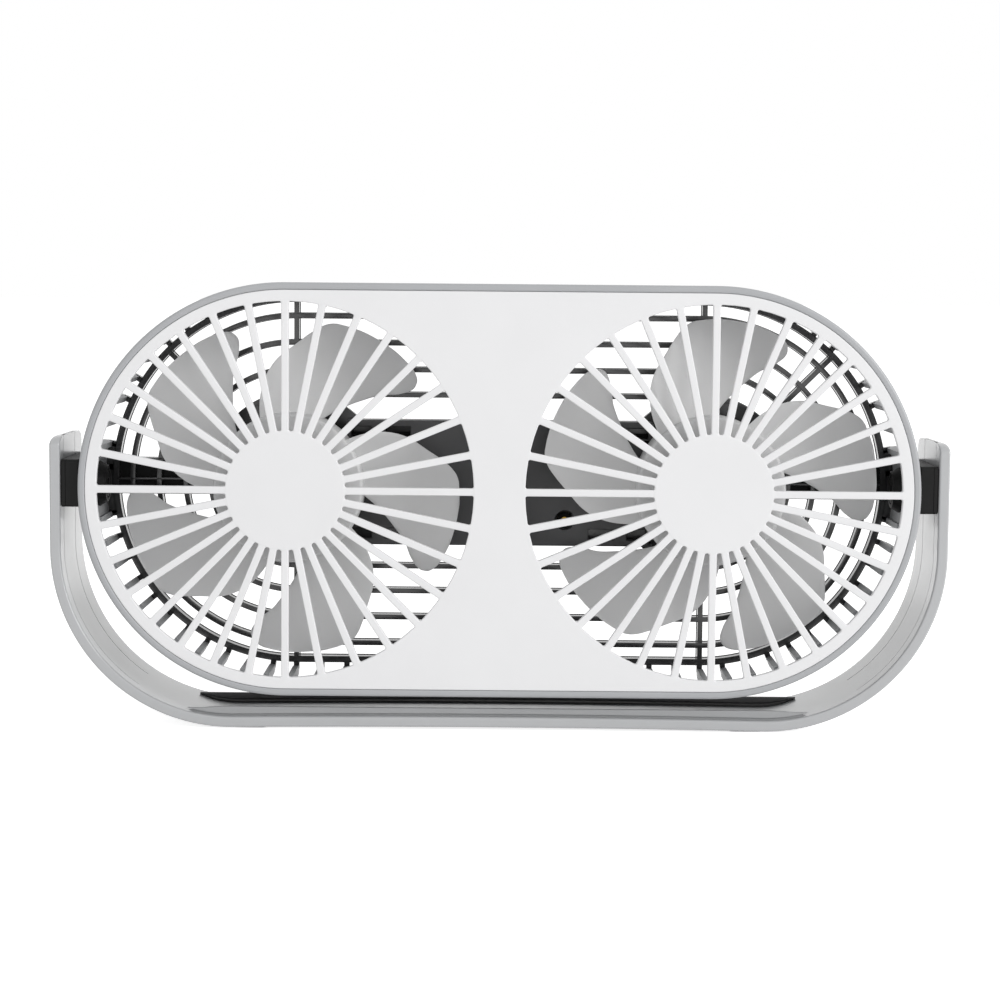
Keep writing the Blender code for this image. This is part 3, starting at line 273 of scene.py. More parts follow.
def inset(outline, distance):
    """An anticlockwise outline moved in by a distance, each corner along its mitre."""
    ahead = norm(np.roll(outline, -1, 0) - outline)
    inward = np.stack([-ahead[:, 1], ahead[:, 0]], -1)
    before = np.roll(inward, 1, 0)
    share = 1 + (before * inward).sum(1, keepdims=True)
    return outline + distance * (before + inward) / share


def distinct(outline):
    """An outline without points that repeat the one before."""
    step = np.linalg.norm(outline - np.roll(outline, 1, 0), axis=1)
    return outline[step > WELD]


# Surfaces: each is (points, faces), or (points, faces, number of its material)


def surface(rows, closed=False):
    """Quads between the neighbours of a grid of points, each row a closed line.

    A closed surface also joins its last row to its first.
    """
    count, width = rows.shape[:2]
    i, j = np.meshgrid(np.arange(count if closed else count - 1), np.arange(width), indexing="ij")
    below = (i + 1) % count * width
    beside = (j + 1) % width
    quads = np.stack([i * width + j, i * width + beside, below + beside, below + j], -1)
    return rows.reshape(-1, 3), quads.reshape(-1, 4)


def upright(points, depth):
    """Flat (x, z) points set at a depth along Y."""
    depth = np.broadcast_to(depth, points.shape[:-1])
    return np.stack([points[..., 0], depth, points[..., 1]], -1)


def carried(section, middle, outward, closed=True):
    """A closed section carried along a path in X and Z.

    A point is the path's point plus the section's first value times the sideways direction
    there, at the section's second value in Y. The ends of an open path close on their middle.
    """
    section = np.asarray(section, float)
    section = np.broadcast_to(section, (len(middle), *section.shape[-2:]))
    rows = upright(middle[:, None] + section[..., :1] * outward[:, None], section[..., 1])
    if not closed:
        first, last = ([np.broadcast_to(row.mean(0), row.shape)] for row in (rows[0], rows[-1]))
        rows = np.concatenate([first, rows, last])
    return surface(rows, closed)


def round_head(section):
    """A section carried once round the head."""
    return carried(section, *head_line())


def straight(section, start, end, sideways):
    """A section carried from one point to another."""
    return carried(section, np.array([start, end], float), np.array([sideways] * 2, float), False)


def lathe(profile, centre=(0.0, 0.0), steps=ROUND_STEPS, closed=False):
    """A profile of (radius, y) turned about Y: x and z are the radius times cos and sin."""
    profile = np.asarray(profile, float)
    flat = np.asarray(centre) + profile[:, None, :1] * circle(1.0, steps=steps)
    return surface(upright(flat, profile[:, 1:]), closed)


def inside(points, outlines):
    """Which points lie in an odd number of outlines, by counting sides crossed to the right."""
    start = np.concatenate(outlines)
    end = np.concatenate([np.roll(outline, -1, 0) for outline in outlines])
    x, z = points[:, :1], points[:, 1:]
    over = (start[:, 1] > z) != (end[:, 1] > z)
    rise = np.where(end[:, 1] == start[:, 1], 1.0, end[:, 1] - start[:, 1])
    cross = start[:, 0] + (z - start[:, 1]) * (end[:, 0] - start[:, 0]) / rise
    return (over & (x < cross)).sum(1) % 2 == 1


def filled(outlines, depth):
    """Triangles between flat outlines, with the holes left open."""
    counts = [len(outline) for outline in outlines]
    starts = np.cumsum([0] + counts[:-1])
    sides = [
        np.stack([start + np.arange(count), start + np.roll(np.arange(count), -1)], -1)
        for start, count in zip(starts, counts)
    ]
    points = np.concatenate(outlines)
    found = delaunay_2d_cdt(
        [Vector(point) for point in points], np.concatenate(sides).tolist(), [], 1, WELD / 10
    )
    flat = np.array([tuple(point) for point in found[0]])
    faces = np.array(found[2])
    faces = faces[inside(flat[faces].mean(1), outlines)]
    return upright(flat, depth), faces


def plate(outlines, front, rear, rounding, steps=3):
    """A flat solid with holes, each edge rounded to a quarter circle.

    The edge is carried along each outline, the first one the outside, the others holes, and
    the flat front and rear are filled between the innermost lines.
    """
    turn = np.linspace(0, np.pi / 2, steps + 1)
    inward, rise = rounding * (1 - np.sin(turn)), rounding * (1 - np.cos(turn))
    edge = [*zip(inward, front + rise), *zip(inward[::-1], (rear - rise)[::-1])]
    parts, caps = [], []
    for number, outline in enumerate(map(distinct, outlines)):
        side = -1 if number else 1
        rows = [upright(inset(outline, side * step), y) for step, y in edge]
        parts.append(surface(np.stack(rows)))
        caps.append(inset(outline, side * rounding))
    return parts + [filled(caps, front), filled(caps, rear)]


def turned_to_x(parts):
    """The same surfaces with Y turned to X: a lathe about Y becomes one about X."""
    return [(points[:, [1, 0, 2]], faces) for points, faces in parts]


def turned_to_z(parts):
    """The same surfaces with Y turned to Z: a plate lies flat."""
    return [(points[:, [0, 2, 1]], faces) for points, faces in parts]


def in_slot(parts, number):
    """The same surfaces in one of the piece's materials."""
    return [(part[0], part[1], number) for part in parts]


# Pieces


def make_mesh(name, parts, place):
    """One mesh from many surfaces, welded, faces outward, sharp only at hard edges.

    A surface may carry the number of its material after its points and faces.
    """
    points = np.concatenate([part[0] for part in parts]) + place
    starts = np.cumsum([0] + [len(part[0]) for part in parts[:-1]])
    faces = []
    for start, part in zip(starts, parts):
        faces += (part[1] + start).tolist()
    mesh = bpy.data.meshes.new(name)
    mesh.from_pydata(points.tolist(), [], faces)
    slots = [np.full(len(part[1]), part[2] if len(part) > 2 else 0) for part in parts]
    mesh.polygons.foreach_set("material_index", np.concatenate(slots).astype(np.int32))
    work = bmesh.new()
    work.from_mesh(mesh)
    bmesh.ops.remove_doubles(work, verts=work.verts, dist=WELD)
    bmesh.ops.dissolve_degenerate(work, edges=work.edges, dist=WELD / 10)
    bmesh.ops.recalc_face_normals(work, faces=work.faces)
    work.to_mesh(mesh)
    work.free()
    mesh.shade_smooth()
    mesh.set_sharp_from_angle(angle=SMOOTH)
    return mesh


def make_piece(name, parts, place, materials, body):
    """A piece of the fan on one of its bodies, in place of the CAD node of its name."""
    mesh = make_mesh(name + "_form", parts, place)
    for material in materials if isinstance(materials, tuple) else (materials,):
        mesh.materials.append(material)
    item = bpy.data.objects.new(name + "_form", mesh)
    bpy.context.scene.collection.objects.link(item)
    shading = item.modifiers.new("even_shading", "WEIGHTED_NORMAL")
    shading.keep_sharp = True
    shading.weight = 50
    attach(item, body)
    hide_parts(name)


# Materials


def set_inputs(made, values):
    """A node's inputs set by name or number."""
    for label, value in values.items():
        made.inputs[label].default_value = value


def node(tree, kind, place, values=None, **settings):
    """A node with its settings and input values, at a place in the editor."""
    made = tree.nodes.new(kind)
    made.location = place
    for name, value in settings.items():
        setattr(made, name, value)
    set_inputs(made, values or {})
    return made


def link(tree, *links):
    """Links, each from the output of one node to the input of another."""
    for source, output, target, label in links:
        tree.links.new(source.outputs[output], target.inputs[label])


def new_group(name, inputs, outputs):
    """An empty shader node group with its sockets."""
    tree = bpy.data.node_groups.new(name, "ShaderNodeTree")
    for label, kind, value in inputs:
        socket = tree.interface.new_socket(label, in_out="INPUT", socket_type="NodeSocket" + kind)
        if value is not None:
            socket.default_value = value
    for label, kind in outputs:
        tree.interface.new_socket(label, in_out="OUTPUT", socket_type="NodeSocket" + kind)
    return tree, node(tree, "NodeGroupInput", (-900, 0)), node(tree, "NodeGroupOutput", (500, 0))


def make_tone_group():
    """Slow, faint clouds of a second tone, as moulded plastic has."""
    tree, given, result = new_group(
        "Cloudy tone",
        [("Vector", "Vector", None), ("Tone", "Color", (0.5, 0.5, 0.5, 1)),
         ("Second Tone", "Color", (0.4, 0.4, 0.4, 1)), ("Scale", "Float", 30.0),
         ("Amount", "Float", 0.5)],
        [("Color", "Color")],
    )
    clouds = node(tree, "ShaderNodeTexNoise", (-650, 0), {"Detail": 3.0})
    stretch = node(tree, "ShaderNodeMapRange", (-450, 0), {"From Min": 0.35, "From Max": 0.65})
    share = node(tree, "ShaderNodeMath", (-250, 0), operation="MULTIPLY")
    blend = node(tree, "ShaderNodeMix", (0, 0), data_type="RGBA")
    link(
        tree, (given, "Vector", clouds, "Vector"), (given, "Scale", clouds, "Scale"),
        (clouds, "Fac", stretch, "Value"), (stretch, "Result", share, 0),
        (given, "Amount", share, 1), (share, 0, blend, "Factor"), (given, "Tone", blend, "A"),
        (given, "Second Tone", blend, "B"), (blend, "Result", result, "Color"),
    )
    return tree


def make_grain_group():
    """The fine spark-eroded grain of a mould: a height and a roughness that follows it."""
    tree, given, result = new_group(
        "Moulded grain",
        [("Vector", "Vector", None), ("Scale", "Float", 3000.0), ("Roughness", "Float", 0.5),
         ("Spread", "Float", 0.1)],
        [("Height", "Float"), ("Roughness", "Float")],
    )
    grain = node(tree, "ShaderNodeTexNoise", (-650, 100), {"Detail": 2.0})
    patches = node(tree, "ShaderNodeTexNoise", (-650, -200), {"Scale": 60.0})
    centred = node(tree, "ShaderNodeMath", (-400, -200), {1: 0.5}, operation="SUBTRACT")
    spread = node(tree, "ShaderNodeMath", (-200, -200), operation="MULTIPLY_ADD")
    link(
        tree, (given, "Vector", grain, "Vector"), (given, "Scale", grain, "Scale"),
        (given, "Vector", patches, "Vector"), (patches, "Fac", centred, 0),
        (centred, 0, spread, 0), (given, "Spread", spread, 1), (given, "Roughness", spread, 2),
        (grain, "Fac", result, "Height"), (spread, 0, result, "Roughness"),
    )
    return tree


def tones(first, second, tint=(1.0, 1.0, 1.0)):
    """Two levels of one slightly tinted grey."""
    return [(*(level * part for part in tint), 1.0) for level in (first, second)]


def make_finish(
    name, colours, roughness, metallic=0.0, specular=0.5, coat=0.0, coat_roughness=0.12,
    clouds=40.0, grain=2600.0, bump=0.05,
):
    """A moulded or metal finish: cloudy tone, grain in the roughness and the bump."""
    material = bpy.data.materials.new(name)
    material.use_nodes = True
    tree = material.node_tree
    shader = tree.nodes["Principled BSDF"]
    set_inputs(shader, {
        "Metallic": metallic, "Specular IOR Level": specular, "IOR": 1.5, "Coat Weight": coat,
        "Coat Roughness": coat_roughness,
    })
    space = node(tree, "ShaderNodeTexCoord", (-900, 0))
    tone = node(
        tree, "ShaderNodeGroup", (-600, 200),
        {"Tone": colours[0], "Second Tone": colours[1], "Scale": clouds, "Amount": 0.6},
        node_tree=TONE_GROUP,
    )
    texture = node(
        tree, "ShaderNodeGroup", (-600, -100),
        {"Scale": grain, "Roughness": roughness, "Spread": 0.12}, node_tree=GRAIN_GROUP,
    )
    relief = node(tree, "ShaderNodeBump", (-300, -200), {"Strength": bump, "Distance": 0.00002})
    link(
        tree, (space, "Object", tone, "Vector"), (space, "Object", texture, "Vector"),
        (tone, "Color", shader, "Base Color"), (texture, "Roughness", shader, "Roughness"),
        (texture, "Height", relief, "Height"), (relief, "Normal", shader, "Normal"),
    )
    return material


# Front of the head


def slot_outline():
    """One wedge slot about the angle 0, its sides parallel to the ribs beside it.

    A side at half a rib from the rib's middle line meets radius r at the angle
    asin(half rib / r) from that line.
    """
    radii = np.array([SLOT_INNER, SLOT_OUTER])
    angle = np.pi / SLOT_COUNT - np.arcsin(SLOT_RIB / 2 / radii)
    low = radii[:, None] * spokes(-angle)
    corners = [*low, (SLOT_OUTER, 0.0), *(low[::-1] * [1, -1])]
    return rounded(corners, [SLOT_ROUND, SLOT_ROUND, SLOT_OUTER / 2, SLOT_ROUND, SLOT_ROUND], 6)


def slot_outlines():
    """The slot repeated round both fans."""
    turn = (np.arange(SLOT_COUNT) + 0.5) * 2 * np.pi / SLOT_COUNT
    ring = slot_outline() @ np.stack([spokes(turn), spokes(turn + np.pi / 2)], 1)
    return [*(ring - [FAN_OFFSET, 0]), *(ring + [FAN_OFFSET, 0])]


def frame_section(thickness):
    """The grey wall beside the vents, in radius and depth."""
    return oblong(HEAD_RADIUS - thickness, HEAD_RADIUS, VENT_FRONT - FIT_GAP, FRAME_REAR, BAR_ROUND)


def make_front():
    """The pale panel with its two rings of slots, and the grey band round it."""
    wall = HEAD_RADIUS - RIM_WALL
    middle, outward = head_line()
    panel = middle + (wall - PANEL_GAP) * outward
    rear = PANEL_THICKNESS - HEAD_FRONT
    parts = plate([panel, *slot_outlines()], -HEAD_FRONT, rear, PANEL_ROUND)
    make_piece("front_grille", parts, HEAD_PLACE, PANEL_WHITE, "head")
    ledge, ledge_rear = rear + FIT_GAP / 3, rear + FIT_GAP / 3 + RIM_WALL / 2
    corners = [
        (wall, -HEAD_FRONT), (HEAD_RADIUS, -HEAD_FRONT), (HEAD_RADIUS, VENT_FRONT),
        (wall, VENT_FRONT), (wall, ledge_rear), (wall - RIM_LEDGE, ledge_rear),
        (wall - RIM_LEDGE, ledge), (wall, ledge),
    ]
    band = rounded(corners, [RIM_INNER_ROUND, RIM_ROUND, *[FIT_GAP] * 5, FIT_GAP / 2], 5)
    parts = [round_head(band)] + vent_ribs(frame_section(RIB_DEPTH))
    parts += solid_ends(frame_section(RIM_WALL))
    make_piece("housing_frame", parts, HEAD_PLACE, FRAME_GREY, "head")


# Rear cover


def corner_curve(radius):
    """The depth of the rear wall's outside at a radius: flat, then a quarter circle."""
    reach = np.clip((radius - (HEAD_RADIUS - COVER_CORNER)) / COVER_CORNER, 0, 1)
    return HEAD_REAR - COVER_CORNER * (1 - np.sqrt(1 - reach**2))


def corner_rib_section():
    """The cover's wall between two vents, in radius and depth: rim, rounded corner and edge."""
    wall = HEAD_RADIUS - COVER_WALL
    edge = GRILLE_RADIUS + OUTER_BAR / 2
    turn = np.linspace(0, np.arccos((edge - HEAD_RADIUS + COVER_CORNER) / COVER_CORNER), 8)
    bend = COVER_CORNER * (spokes(turn) - 1) + [HEAD_RADIUS, HEAD_REAR]
    return np.concatenate([
        [(wall, COVER_FRONT), (HEAD_RADIUS, COVER_FRONT)], bend,
        [(edge - FIT_GAP, bend[-1, 1]), (edge - FIT_GAP, PLATE_FRONT), (wall, PLATE_FRONT)],
    ])


def vent_ribs(section):
    """A rib at every place between two vents, round both ends and along top and bottom."""
    ribs = [(side * FAN_OFFSET, np.pi / 2 - side * i * np.pi / END_VENTS)
            for side, _ in SIDES for i in range(END_VENTS + 1)]
    spacing = 2 * FAN_OFFSET / TOP_VENTS
    ribs += [(i * spacing - FAN_OFFSET, rise * np.pi / 2)
             for i in range(1, TOP_VENTS) for rise in (1, -1)]
    parts = []
    for x, angle in ribs:
        outward = spokes(angle)
        half = np.array([-outward[1], outward[0]]) * VENT_RIB / 2
        parts.append(straight(section, (x, 0) - half, (x, 0) + half, outward))
    return parts


def solid_ends(section, steps=24):
    """The closed stretch behind each pivot, with no vents."""
    parts = []
    for side, _ in SIDES:
        start, end = (np.pi / 2 - side * vent * np.pi / END_VENTS for vent in SOLID_VENTS)
        outward = spokes(np.linspace(start, end, steps + 1))
        middle = np.broadcast_to([side * FAN_OFFSET, 0], outward.shape)
        parts.append(carried(section, middle, outward, False))
    return parts


def side_bars():
    """The wide bar behind each pivot: a rear wall, an edge above and below and a middle rib."""
    half = GRILLE_BAR / 2
    wall = oblong(-SIDE_BAR_BOTTOM, SIDE_BAR_TOP, PLATE_FRONT + POCKET_DEPTH, HEAD_REAR, BAR_ROUND)
    parts = []
    for side, _ in SIDES:
        start, end = ((side * (FAN_OFFSET + reach), 0) for reach in (INNER_LOOP, GRILLE_RADIUS))
        # The rear wall is the floor of the pockets between the ribs. Its near-black second finish
        # is painted shade in the pockets.
        parts += in_slot([straight(wall, start, end, (0, 1))], 1)
        for low in (-SIDE_BAR_BOTTOM, -half / 2, SIDE_BAR_TOP - half):
            rib = oblong(low, low + half, PLATE_FRONT, HEAD_REAR - FIT_GAP, BAR_ROUND)
            parts.append(straight(rib, start, end, (0, 1)))
    return parts


def bar_section(low, high, rear):
    """A bar of the rear grille: upright sides, and a bead along each side at the rear."""
    step = rear - BEAD_DEPTH
    corners = [(low, PLATE_FRONT), (high, PLATE_FRONT), (high, step), (high + BEAD, step),
               (high + BEAD, rear), (low - BEAD, rear), (low - BEAD, step), (low, step)]
    sharp = BAR_ROUND / 5
    rounds = [BAR_ROUND, BAR_ROUND, sharp, sharp, BAR_ROUND, BAR_ROUND, sharp, sharp]
    return rounded(corners, rounds, 2)


def grille_bars():
    """The loops round both fans and the bars that cross them."""
    half = GRILLE_BAR / 2
    parts = []
    for share in LOOP_SHARES:
        radius = share * GRILLE_RADIUS
        parts.append(round_head(bar_section(radius - half, radius + half, HEAD_REAR)))
    low, high = GRILLE_RADIUS - OUTER_BAR / 2, GRILLE_RADIUS + OUTER_BAR / 2
    edge = corner_curve(low)
    outer = [(low, PLATE_FRONT), (high, PLATE_FRONT), (high, corner_curve(high)),
             (GRILLE_RADIUS, corner_curve(GRILLE_RADIUS)), (low - BEAD, edge),
             (low - BEAD, edge - BEAD_DEPTH), (low, edge - BEAD_DEPTH)]
    parts.append(round_head(rounded(outer, BAR_ROUND / 5, 2)))
    sunk = FIT_GAP / 6
    bar = bar_section(-half, half, HEAD_REAR - sunk)
    bar[:, 1] = np.maximum(bar[:, 1], PLATE_FRONT + sunk)
    for side, _ in SIDES:
        fan = np.array([side * FAN_OFFSET, 0])
        for rise in (-1, 1):
            slant = np.array([side, rise]) * math.sqrt(0.5)
            for along, across in ((slant, (-slant[1], slant[0])), (np.array([0, rise]), (1, 0))):
                start, end = fan + along * INNER_LOOP, fan + along * GRILLE_RADIUS
                parts.append(straight(bar, start, end, across))
    for rise in (-1, 1):
        parts.append(straight(bar, (0, rise * SPINE_HALF), (0, rise * GRILLE_RADIUS), (1, 0)))
    return parts


def spine_plate():
    """The closed plate behind the motors and the housing, with its holes."""
    disc = INNER_LOOP + GRILLE_BAR / 2
    turn = math.asin(SPINE_HALF / disc)
    end = disc * spokes(np.linspace(turn - np.pi, np.pi - turn, 2 * HALF_TURN_STEPS))
    outline = np.concatenate([end + [FAN_OFFSET, 0], -end - [FAN_OFFSET, 0]])
    holes = [circle(BUTTON_RADIUS + FIT_GAP, (0, BUTTON_HEIGHT)),
             circle(LENS_RADIUS + FIT_GAP, (0, LENS_HEIGHT)), inlet_outline()]
    for side, _ in SIDES:
        for turn_side in (-1, 1):
            place = (side * FAN_OFFSET + turn_side * MOTOR_SCREW_OFFSET, 0)
            holes.append(circle(MOTOR_SCREW_RADIUS + FIT_GAP, place, ROUND_STEPS // 2))
    sunk = FIT_GAP / 3
    return plate([outline, *holes], PLATE_FRONT + sunk, HEAD_REAR - sunk, BAR_ROUND)


def inlet_outline(steps=12):
    """The power inlet's opening, with half round ends."""
    radius = INLET_HEIGHT / 2 + FIT_GAP
    end = radius * spokes(np.linspace(-np.pi / 2, np.pi / 2, steps + 1))
    end[:, 0] += INLET_WIDTH / 2 + FIT_GAP - radius
    return np.concatenate([end, -end]) - [0, INLET_DROP]


def make_rear():
    """The dark rear cover: vents, loops, bars, plate and motor cradles."""
    corner = corner_rib_section()
    parts = vent_ribs(corner) + solid_ends(corner) + side_bars() + grille_bars() + spine_plate()
    cradle = oblong(CRADLE_INNER, CRADLE_OUTER, CRADLE_FRONT, PLATE_FRONT + FIT_GAP, BAR_ROUND)
    parts += [lathe(cradle, (side * FAN_OFFSET, 0), closed=True) for side, _ in SIDES]
    # The cover's second finish, near-black, is painted shade on the floor of the side bars'
    # pockets.
    make_piece("rear_cover", parts, HEAD_PLACE, (COVER_DARK, BLACK_AND_POCKET_SHADE), "head")


def make_housing():
    """The box over the electronics: a rounded front with vents and two screw recesses."""
    length = HOUSING_HALF_LENGTH
    outline = oblong(-length, length, -SPINE_HALF, SPINE_HALF, HOUSING_ROUND, 4)
    width, height = VENT_LENGTH / 2, VENT_HEIGHT / 2
    start, seat = HOUSING_FRONT + HOUSING_WALL / 2, HOUSING_FRONT + RECESS_DEPTH
    corners = [(CUP_BORE, seat), (RECESS_RADIUS, seat), (RECESS_RADIUS, start),
               (CUP_OUTER, start), (CUP_OUTER, CUP_REAR), (CUP_BORE, CUP_REAR)]
    holes, cups = [], []
    for side, _ in SIDES:
        place = (side * BOSS_OFFSET, -BOSS_DROP)
        cups.append(lathe(rounded(corners, BAR_ROUND / 4, 2), place, closed=True))
        holes.append(circle(RECESS_RADIUS, place))
        for z in (-VENT_RISE, VENT_RISE):
            for x in (side * VENT_PLACES[0], side * VENT_PLACES[1]):
                holes.append(oblong(x - width, x + width, z - height, z + height, BAR_ROUND))
    parts = plate([outline, *holes], HOUSING_FRONT, HOUSING_FRONT + HOUSING_WALL, HOUSING_ROUND / 2)
    inner = inset(outline, HOUSING_WALL)
    wall = [upright(edge, y) for edge, y in
            ((outline, start), (outline, HOUSING_REAR), (inner, HOUSING_REAR), (inner, start))]
    parts += [surface(np.stack(wall), True), *cups]
    make_piece("centre_housing", parts, HEAD_PLACE, HOUSING_DARK, "head")


# Impellers


def smooth_table(spots, values, at):
    """Values between table entries on a smooth curve that doesn't overshoot.

    Each span is a cubic that matches the slopes at its ends: there a slope is the harmonic
    mean of the two beside it, or zero where the curve turns round.
    """
    spots, values = np.asarray(spots), np.asarray(values)
    steps = np.diff(values) / np.diff(spots)
    turns = steps[1:] * steps[:-1] <= 0
    mean = 2 * steps[1:] * steps[:-1] / np.where(turns, 1.0, steps[1:] + steps[:-1])
    slope = np.concatenate([steps[:1], np.where(turns, 0.0, mean), steps[-1:]])
    i = np.clip(np.searchsorted(spots, at, side="right") - 1, 0, len(spots) - 2)
    width = spots[i + 1] - spots[i]
    t = (at - spots[i]) / width
    first = (1 + 2 * t) * (1 - t) ** 2 * values[i] + t**2 * (3 - 2 * t) * values[i + 1]
    return first + (t * (1 - t) ** 2 * slope[i] - t**2 * (1 - t) * slope[i + 1]) * width


def blade(phase, rows=44, columns=20):
    """One swept blade: a helical strip with a rounded section.

    Along the radius the strip runs between the leading and trailing angles of the tables,
    with its rows crowded towards the tip.
    Its depth falls in step with the angle, less a camber of 4u (1 - u), and half its
    thickness is (1 - |2u - 1|^6)^0.5 across the strip, u running from one edge to the other.
    """
    share = 1 - (1 - RADIUS_SHARES[0]) * np.linspace(1, 0, rows) ** TIP_CROWDING
    lead = smooth_table(RADIUS_SHARES, LEAD_DEGREES, share)[:, None]
    trail = smooth_table(RADIUS_SHARES, TRAIL_DEGREES, share)[:, None]
    radius = (share * TIP_RADIUS)[:, None]
    u = (1 - np.cos(np.linspace(0, np.pi, columns))) / 2
    half = BLADE_THICKNESS / 2 * np.sqrt(np.clip(1 - np.abs(2 * u - 1) ** 6, 0, 1))
    turn = lead + (trail - lead) * u
    angle = np.radians(phase + turn)
    depth = -BLADE_MID - BLADE_RISE * turn + BLADE_CAMBER * 4 * u * (1 - u)
    flat = radius[..., None] * spokes(angle)
    near, far = upright(flat, depth - half), upright(flat, depth + half)
    rows_all = np.concatenate([near, far[:, -2:0:-1]], 1)
    middle = (near[-1] + far[-1]) / 2
    tip = np.concatenate([middle, middle[-2:0:-1]])
    root = np.broadcast_to(rows_all[0].mean(0), rows_all[0].shape)
    return surface(np.concatenate([[root], rows_all, [tip]]))


def make_impeller(side, side_name, phase):
    """A cup-shaped hub and five blades."""
    inner = HUB_RADIUS - HUB_WALL
    floor = HUB_WALL - HUB_FRONT
    corners = [(0, -HUB_FRONT), (HUB_RADIUS, -HUB_FRONT), (HUB_RADIUS, HUB_REAR),
               (inner, HUB_REAR), (inner, floor), (0, floor)]
    outline = rounded(corners, [0, HUB_ROUND, BAR_ROUND, BAR_ROUND, HUB_ROUND, 0], 5)
    profile = np.concatenate([corners[:1], outline[6:-6], corners[-1:]])
    parts = [lathe(profile, steps=2 * ROUND_STEPS)]
    parts += [blade(phase + 360.0 * i / BLADE_COUNT) for i in range(BLADE_COUNT)]
    name = f"impeller_{side_name}"
    make_piece(name, parts, HEAD_PLACE + [side * FAN_OFFSET, 0, 0], BLADE_GREY, name)


# Screws


def screw(seat, tip, radius):
    """A pan head on a shank, turned about its axis, with a round socket sunk in its crown.

    At radius r the crown has fallen by crown (r / radius)^2.
    """
    toward = 1 if tip > seat else -1
    top = seat - toward * SCREW_HEAD
    floor = top + toward * SOCKET_DEPTH
    spread = np.linspace(SOCKET_RADIUS, radius, 7)
    crown = np.stack([spread, top + toward * SCREW_CROWN * (spread / radius) ** 2], -1)
    profile = np.concatenate([
        [(0, floor), (SOCKET_RADIUS, floor)], crown,
        [(radius, seat), (SCREW_SHANK, seat), (SCREW_SHANK, tip), (0, tip)],
    ])
    return lathe(profile, steps=ROUND_STEPS // 2)


def make_screws():
    """The screws of the housing, deep in their recesses, and those of both motors."""
    seat = HOUSING_FRONT + RECESS_DEPTH
    rim = seat - SCREW_HEAD - FIT_GAP
    collar = oblong(COLLAR_BORE, HOUSING_SCREW_RADIUS, rim, seat - SCREW_HEAD / 2, FIT_GAP / 2)
    housing = [screw(seat, HOUSING_SCREW_TIP, HOUSING_SCREW_RADIUS)]
    housing += in_slot([lathe(collar, closed=True)], 1)
    motor = [screw(MOTOR_SCREW_SEAT, MOTOR_SCREW_TIP, MOTOR_SCREW_RADIUS)]
    for side, side_name in SIDES:
        place = HEAD_PLACE + [side * BOSS_OFFSET, 0, -BOSS_DROP]
        make_piece(f"housing_screw_{side_name}", housing, place, (SCREW_BRASS, DEEP_BLACK), "head")
        for turn, number in ((-1, 1), (1, 2)):
            place = HEAD_PLACE + [side * FAN_OFFSET + turn * MOTOR_SCREW_OFFSET, 0, 0]
            make_piece(f"motor_screw_{side_name}_{number}", motor, place, SCREW_BRASS, "head")


# Stand


def base_line(steps):
    """The base's top from a bend to the middle: it rises by arch (1 - (x / bend x)^2)."""
    x = BEND_X * (1 - np.linspace(0, 1, steps + 1)[1:])
    return np.stack([x, BASE_TOP + BASE_ARCH * (1 - (x / BEND_X) ** 2)], -1)


def stand_line(arm_steps=10, bend_steps=45, base_steps=24):
    """The inside line of the U and its outward direction, from the right arm's top to the left's.

    The arm is straight, the bend a quarter circle, and the base follows base_line.
    """
    rise = np.cos(np.linspace(0, np.pi / 2, arm_steps + 1))
    heights = np.append(ARM_TOP - ARM_CORNER_HEIGHT * (1 - rise), BEND_Z + FIT_GAP)
    arm = np.stack([np.full(len(heights), PIVOT_FACE), heights], -1)
    turned = spokes(-np.linspace(0, np.pi / 2, bend_steps + 1))
    base = base_line(base_steps)
    line = np.concatenate([arm, np.array([BEND_X, BEND_Z]) + INNER_BEND * turned, base])
    outward = np.concatenate([
        np.broadcast_to([1.0, 0.0], arm.shape), turned, np.broadcast_to([0.0, -1.0], base.shape),
    ])
    return tuple(np.concatenate([part, part[-2::-1] * [-1.0, 1.0]]) for part in (line, outward))


def corner_loss(line):
    """How far the arm's end is rounded off: 0 down the arm, 1 at its top, a quarter circle."""
    near = np.clip((line[:, 1] - ARM_TOP + ARM_CORNER_HEIGHT) / ARM_CORNER_HEIGHT, 0, 1)
    return 1 - np.sqrt(1 - near**2)


def strip_range(line):
    """Where the arm's cover strip lies along the line."""
    angle = np.arctan2(BEND_Z - line[:, 1], np.abs(line[:, 0]) - BEND_X)
    return (line[:, 1] > BEND_Z) | (angle < STRIP_END + WELD)


